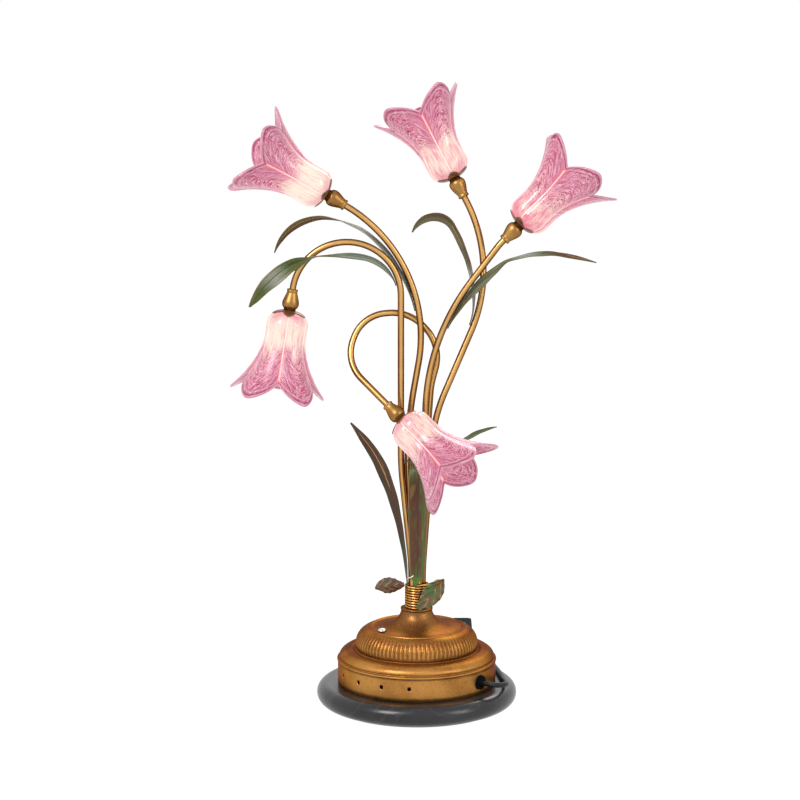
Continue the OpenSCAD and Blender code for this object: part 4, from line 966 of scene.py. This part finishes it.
# In mm and degrees. on: stem, distance, side. angle: round the stems. runs: length, curl, lean and turn
# blade: share of the length, reach to both sides, twist
# red: where across the blade, how wide, from and to which share of the length, how strong
leafShape = {
    "steps": 15, "fine": 5, "across": 17, "fold": 0.2, "ribs": 0.12, "thickness": 0.6, "wave": 0.4,
    "footGap": 0.1, "tallFoot": (8.9, 0, 113.6),
    "a": {"on": (0, 298, 180),
          "runs": [(20, 10, 0, 0), (60, 26, 0, 20), (45, 34, 0, 35), (30, 28, 0, 10), (45, 55, 0, -10)],
          "blade": [(0, 2, 2, 0), (0.1, 3, 3.5, -20), (0.2, 3, 2.5, -48), (0.3, 3.5, 3, -54),
                    (0.4, 4, 3, -55), (0.5, 5, 4, -53), (0.58, 5.5, 3, -50), (0.64, 6, 2.5, -40),
                    (0.7, 6, 1.5, -18), (0.76, 5.5, 2, -8), (0.84, 5, 3, 0), (0.92, 3.5, 2.6, 0),
                    (1, 0.5, 0.5, 0)],
          "paint": {"seed": 1, "main": (94, 108, 56), "second": (122, 98, 62), "striped": 0.5, "edged": 0.4,
                    "red": (0.2, 0.5, 0.6, 0.98, 0.85), "greyTo": 0.6, "grey": 0.75, "sheenAt": 0.5,
                    "sheen": 0.3, "streak": (0.66, 0.97)}},
    "b": {"on": (1, 288, 180),
          "runs": [(27, 22, 0, 10), (49, 18, 0, 30), (27, 10, 0, 20), (22, 66, 0, 10), (27, 58, 0, 0)],
          "blade": [(0, 2.5, 2.5, 0), (0.2, 3, 3.5, 15), (0.35, 3, 3.5, 13), (0.5, 3, 5, 6),
                    (0.65, 2.5, 5.5, 0), (0.78, 4, 5.5, 0), (0.88, 4.5, 3.5, 0), (0.95, 2.5, 2, 0),
                    (1, 0.6, 0.6, 0)],
          "paint": {"seed": 2, "main": (86, 92, 62), "second": (104, 94, 66), "striped": 0.6, "edged": 0.8,
                    "red": (0.85, 0.3, 0.3, 0.9, 0.7), "greyTo": 0.4, "grey": 0.7, "sheenAt": 0.3,
                    "sheen": 0.3, "streak": (0.5, 0.7)}},
    "c": {"on": (2, 284, 0),
          "runs": [(19, 10, 4, 20), (43, 17, 4, 30), (38, 13, 0, 30), (38, 36, 0, -50), (38, 8, 0, 30)],
          "blade": [(0, 2.5, 2.5, 0), (0.12, 5.5, 3, 0), (0.22, 7.5, 3.5, 0), (0.32, 8, 3.2, 0),
                    (0.42, 7.4, 0, 0), (0.5, 7, -4, 0), (0.58, 4.4, -0.8, 0), (0.7, 2.8, 2.8, 0),
                    (0.8, 3, 3, 0), (0.9, 2, 2.2, 0), (1, 0.5, 0.5, 0)],
          "paint": {"seed": 3, "main": (74, 84, 54), "second": (100, 96, 66), "striped": 0.4, "edged": 0.4,
                    "red": (0.5, 0.9, 0.76, 1.1, 0.75), "greyTo": 0.05, "grey": 0.5, "sheenAt": 0.6,
                    "sheen": 0.35, "streak": (0.8, 0.98)}},
    "d": {"on": (3, 323, 180),
          "runs": [(14, 26, -10, 0), (33, 41, -8, 20), (43, 16, 2, 40), (43, 33, 6, 10), (47, 24, 4, -20)],
          "blade": [(0, 2, 2, 0), (0.1, 4, 2.5, -35), (0.2, 4, 3, -56), (0.3, 4.5, 3.5, -60),
                    (0.4, 4, 3.5, -56), (0.48, 5.5, 2.5, -46), (0.54, 9, 4, -32), (0.62, 10, 7.5, -12),
                    (0.72, 9.5, 9.5, 0), (0.82, 9, 9.5, 0), (0.9, 7, 8, 0), (0.96, 4, 5.5, 0),
                    (1, 0.8, 1.2, 0)],
          "paint": {"seed": 4, "main": (80, 116, 50), "second": (98, 110, 58), "striped": 0.35, "edged": 0.5,
                    "red": (0.8, 0.5, 0.48, 0.66, 0.95), "greyTo": 0.46, "grey": 0.7, "sheenAt": 0.78,
                    "sheen": 0.45}},
    "e": {"on": (4, 127, 0), "runs": [(11, 25, 0, 0), (22, 19, 0, 0), (31, 14, 0, 30), (27, 19, 0, 20)],
          "blade": [(0, 2, 2, 0), (0.3, 2.5, 3.5, 0), (0.5, 3, 5, 0), (0.7, 4, 3.5, 0), (0.85, 2.6, 2.4, 0),
                    (1, 0.5, 0.5, 0)],
          "paint": {"seed": 5, "main": (66, 86, 42), "second": (92, 104, 54), "striped": 0.4, "edged": 0.3,
                    "red": (0.5, 0.3, 0.2, 0.6, 0.4), "greyTo": 0.1, "grey": 0.4, "sheenAt": 0.6,
                    "sheen": 0.15}},
    "left": {"angle": -86,
             "runs": [(20, 3, 0, 0), (55, 9, 0, 40), (50, 11, 0, 30), (30, 12, 0, 0), (30, 5, 0, 0)],
             "blade": [(0, 2, 2.5, 0), (0.1, 1, 3.5, 25), (0.2, 1, 4, 38), (0.3, 1, 5.2, 30),
                       (0.4, 2, 6.2, 20), (0.5, 3.4, 7, 10), (0.6, 4.6, 7.6, 0), (0.7, 5, 7.6, 0),
                       (0.8, 4.8, 6.6, 0), (0.9, 3.4, 5, 0), (1, 0.6, 1.2, 0)],
             "paint": {"seed": 6, "main": (40, 56, 26), "second": (56, 38, 28), "striped": 0.4, "edged": 0.3,
                       "red": (0.55, 0.55, 0.3, 1.1, 0.75), "greyTo": 0.3, "grey": 0.2,
                       "streak": (0.56, 0.95)}},
    "front": {"angle": -8, "runs": [(25, 3, 0, 0), (90, 3, 0, 5), (16, -50, 0, -25), (14, -50, 0, 0)],
              "blade": [(0, 2, 2, 0), (0.075, 2, 2, 0), (0.115, 9, 5, 0), (0.3, 11, 6, 0),
                        (0.5, 12.5, 6.5, 0), (0.7, 14, 6.5, 0), (0.82, 15, 5.5, 0), (0.87, 14, 5, 0),
                        (0.9, 10, 5, 0), (0.93, 4, 5.5, 0), (0.965, -2, 8.5, 0), (1, -12, 13.2, 0)],
              "paint": {"seed": 7, "main": (70, 92, 40), "second": (88, 92, 48), "striped": 0.75,
                        "edged": 0.8, "red": (0.38, 0.42, 0.14, 0.8, 0.95), "foot": 0.12}},
}


def leafSpine(start, runs, steps, fine):
    ds = sum(r[0] for r in runs) / steps

    def runAt(s):
        for r in runs[:-1]:
            if s < r[0]:
                return r
            s -= r[0]
        return runs[-1]

    def turnAt(s):
        angle = 0
        for r in runs:
            angle += min(1, max(0, s / r[0])) * r[3]
            s -= r[0]
        return angle

    here, spine = start, [start @ turn("Z", turnAt(0))]
    for k in range(steps * fine):
        r = runAt((k // fine + 0.5) * ds)
        part = ds / fine / r[0]
        half = turn("X", r[2] * part / 2) @ turn("Y", r[1] * part / 2)
        here = here @ half @ move(0, 0, ds / fine) @ turn("Y", r[1] * part / 2) @ turn("X", r[2] * part / 2)
        spine.append(here @ turn("Z", turnAt((k + 1) * ds / fine)))
    return spine


def bladeRows(rows, count):  # reach and twist along the blade, with the corners rounded
    shares = np.linspace(0, 1, 241)
    window = np.hanning(17) / np.hanning(17).sum()
    columns = [np.interp(shares, [row[0] for row in rows], [row[k] for row in rows]) for k in (1, 2, 3)]
    soft = [np.convolve(np.pad(column, 8, mode="edge"), window, "valid") for column in columns]
    return np.array([np.interp(np.linspace(0, 1, count), shares, column) for column in soft]).T


def makeLeaf(name, node, start, leaf, material):
    shape, thickness = leafShape, leaf["thickness"]
    spine = leafSpine(start, leaf["runs"], shape["steps"], shape["fine"])
    n, last = shape["across"], len(spine) - 1
    points = []
    for k, (here, (left, right, twist)) in enumerate(zip(spine, bladeRows(leaf["blade"], len(spine)))):
        half, middle = max(0.3, (left + right) / 2), (left - right) / 2
        here = here @ turn("Z", twist)
        for top, j in [(1, j) for j in range(n)] + [(-1, j) for j in range(n - 1, -1, -1)]:
            y = 2 * j / (n - 1) - 1
            lift = shape["fold"] * half * (abs(y) * 1.2 - y * y * 0.2)
            phase = k / last * 34 + leaf["seed"] * 2.1 + (1.7 if y > 0 else 0)
            ripple = leaf["wave"] * abs(y) ** 3 * math.sin(phase) * min(1, half / 6)
            ripple += shape["ribs"] * math.cos(y * 15) * min(1, half / 4)
            edge = thickness / 2 * (1 - 0.6 * abs(y) ** 6)
            points.append(tuple(here @ Vector((lift + ripple + top * edge, middle + y * half, 0))))

    def corner(row, column, step):
        j = (column + step) % (2 * n)
        return (j if j < n else 2 * n - 1 - j) / (n - 1), row / last

    hold(loft(name, np.array(points) * mm, 2 * n, material, "blade", corner, capped=True), [node])


def makeLeaves(shape):
    for k, key in enumerate(["a", "b", "c", "d", "e", "left", "front"]):
        leaf = {"thickness": shape["thickness"], "wave": shape["wave"], "seed": k, **shape[key]}
        if "on" in leaf:
            stem, distance, side = leaf["on"]
            gap = stemShape["diameter"] / 2 + shape["thickness"] / 2 + shape["footGap"]
            start = stemAt(stem, distance) @ turn("Z", side) @ move(gap, 0, 0)
        else:
            start = turn("Z", leaf["angle"] - 90) @ move(*shape["tallFoot"])
        paint = leafPaint(leaf["paint"], sum(run[0] for run in leaf["runs"]) / 100)
        makeLeaf("leaf." + key, "leaf_" + key, start, leaf, paint)
    print("leaves made")


makeLeaves(leafShape)


def castPaint(seed, dark, light):  # cold-painted casting, gold rubbed on the high places
    def recipe(s):
        u, v = s.uvMap("blade")
        place = s.place()
        patch = s.noise(place, 110 + seed, 3, 0.5, 0.8)
        speck = s.noise(place, 420, 3)
        vein = (abs(u * 2 - 1) * 9 + v * 22).math("SINE")
        colour = s.coats(s.mix(patch.ramp(0.42, 0.6), rgb(*dark), rgb(*light)),
                         (speck.ramp(0.56, 0.7) * 0.45, rgb(150, 84, 44)),
                         (vein.ramp(0.75, 1.0) * patch.ramp(0.4, 0.6) * 0.6, rgb(198, 148, 92)))
        return {"Base Color": colour, "Roughness": speck * 0.2 + 0.32, "Metallic": speck * 0.3,
                "Normal": s.bump(vein * 0.5 + patch + speck * 0.5, 0.0006, 0.6)}
    return finishOf("castPaint." + str(seed), recipe, Coat_Weight=0.3, Coat_Roughness=0.2)


# turns: about y, then z. wide: times the blade's width
castShape = {
    "thickness": 1.6,
    "blade": [(0, 2, 2, 0), (0.12, 4, 4, 0), (0.3, 7, 7, 0), (0.5, 8.5, 8.5, 0), (0.7, 7.6, 7.6, 0),
              (0.86, 4.6, 4.6, 0), (0.95, 2.2, 2.2, 0), (1, 0.8, 0.8, 0)],
    "left": {"at": (-12.4, -4, 121.5), "turns": (-100, 80), "wide": 1, "seed": 11, "wave": 0.6,
             "runs": [(10, 0, 8, 0), (12, 20, -10, 10), (8, -40, -20, 0)],
             "paint": (1, (92, 40, 34), (70, 74, 42))},
    "right": {"at": (1, -13.2, 99), "turns": (50, -90), "wide": 1.16, "seed": 12, "wave": 0.8,
              "runs": [(14, 0, 10, 0), (16, 10, 8, 0), (12, 30, -10, 10)],
              "paint": (2, (64, 96, 42), (98, 76, 44))},
}


def makeCastLeaves(shape):
    for key in ("left", "right"):
        leaf = {"thickness": shape["thickness"], **shape[key]}
        leaf["blade"] = [(t, a * leaf["wide"], b * leaf["wide"], c) for t, a, b, c in shape["blade"]]
        start = move(*leaf["at"]) @ turn("Y", leaf["turns"][0]) @ turn("Z", leaf["turns"][1])
        makeLeaf("castLeaf." + key, "cast_leaf_" + key, start, leaf, castPaint(*leaf["paint"]))
    print("cast leaves made")


makeCastLeaves(castShape)


# Studio

# In metres and watts. A lamp's box: where it stands, its width and height, its power
studio = {
    "worldFill": 0.4, "floorShare": 0.88, "floorWhite": 1.12, "floorHalf": 6.0, "aim": (0, 0, 0.3),
    "lamps": {"keyBox": ((-1.3, -1.7, 1.9), (0.9, 1.2), 44), "fillBox": ((1.7, -1.3, 1.1), (0.8, 1.2), 14),
              "backBox": ((0.4, 1.8, 1.6), (1.2, 0.8), 12)},
}


def lightPathWhite(s):  # 1 for what the camera, gloss and glass see
    path = s.add("ShaderNodeLightPath")
    seen = path.out("Is Camera Ray").math("MAXIMUM", path.out("Is Glossy Ray"))
    return seen.math("MAXIMUM", path.out("Is Transmission Ray"))


def makeWorld(setup):
    world = bpy.data.worlds.new("studioWorld")
    bpy.context.scene.world = world
    world.use_nodes = True
    world.node_tree.nodes.clear()
    s = Sketch(world.node_tree)
    strength = lightPathWhite(s) * (1 - setup["worldFill"]) + setup["worldFill"]
    glow = s.add("ShaderNodeBackground", {}, {"Color": (1, 1, 1, 1), "Strength": strength})
    s.add("ShaderNodeOutputWorld", {}, {"Surface": glow})


def makeFloor(setup):
    h = setup["floorHalf"]
    floor = meshPiece("studioFloor", [(-h, -h, 0), (h, -h, 0), (h, h, 0), (-h, h, 0)], [(0, 1, 2, 3)])
    material = bpy.data.materials.new("studioFloor")
    material.use_nodes = True
    material.node_tree.nodes.clear()
    s = Sketch(material.node_tree)
    paper = s.add("ShaderNodeBsdfDiffuse", {}, {"Color": rgb(246, 246, 246)})
    white = s.add("ShaderNodeEmission", {}, {"Color": (1, 1, 1, 1), "Strength": setup["floorWhite"]})
    both = s.add("ShaderNodeMixShader", {}, {0: lightPathWhite(s) * setup["floorShare"], 1: paper, 2: white})
    s.add("ShaderNodeOutputMaterial", {}, {"Surface": both})
    floor.data.materials.append(material)


def makeLamps(setup):
    for name, (at, size, power) in setup["lamps"].items():
        data = bpy.data.lights.new(name, "AREA")
        data.shape = "RECTANGLE"
        data.size, data.size_y = size
        data.energy = power
        aimed(name, data, at, setup["aim"])


makeWorld(studio)
makeFloor(studio)
makeLamps(studio)
bpy.context.scene.view_settings.view_transform = "Standard"
print("studio ready")
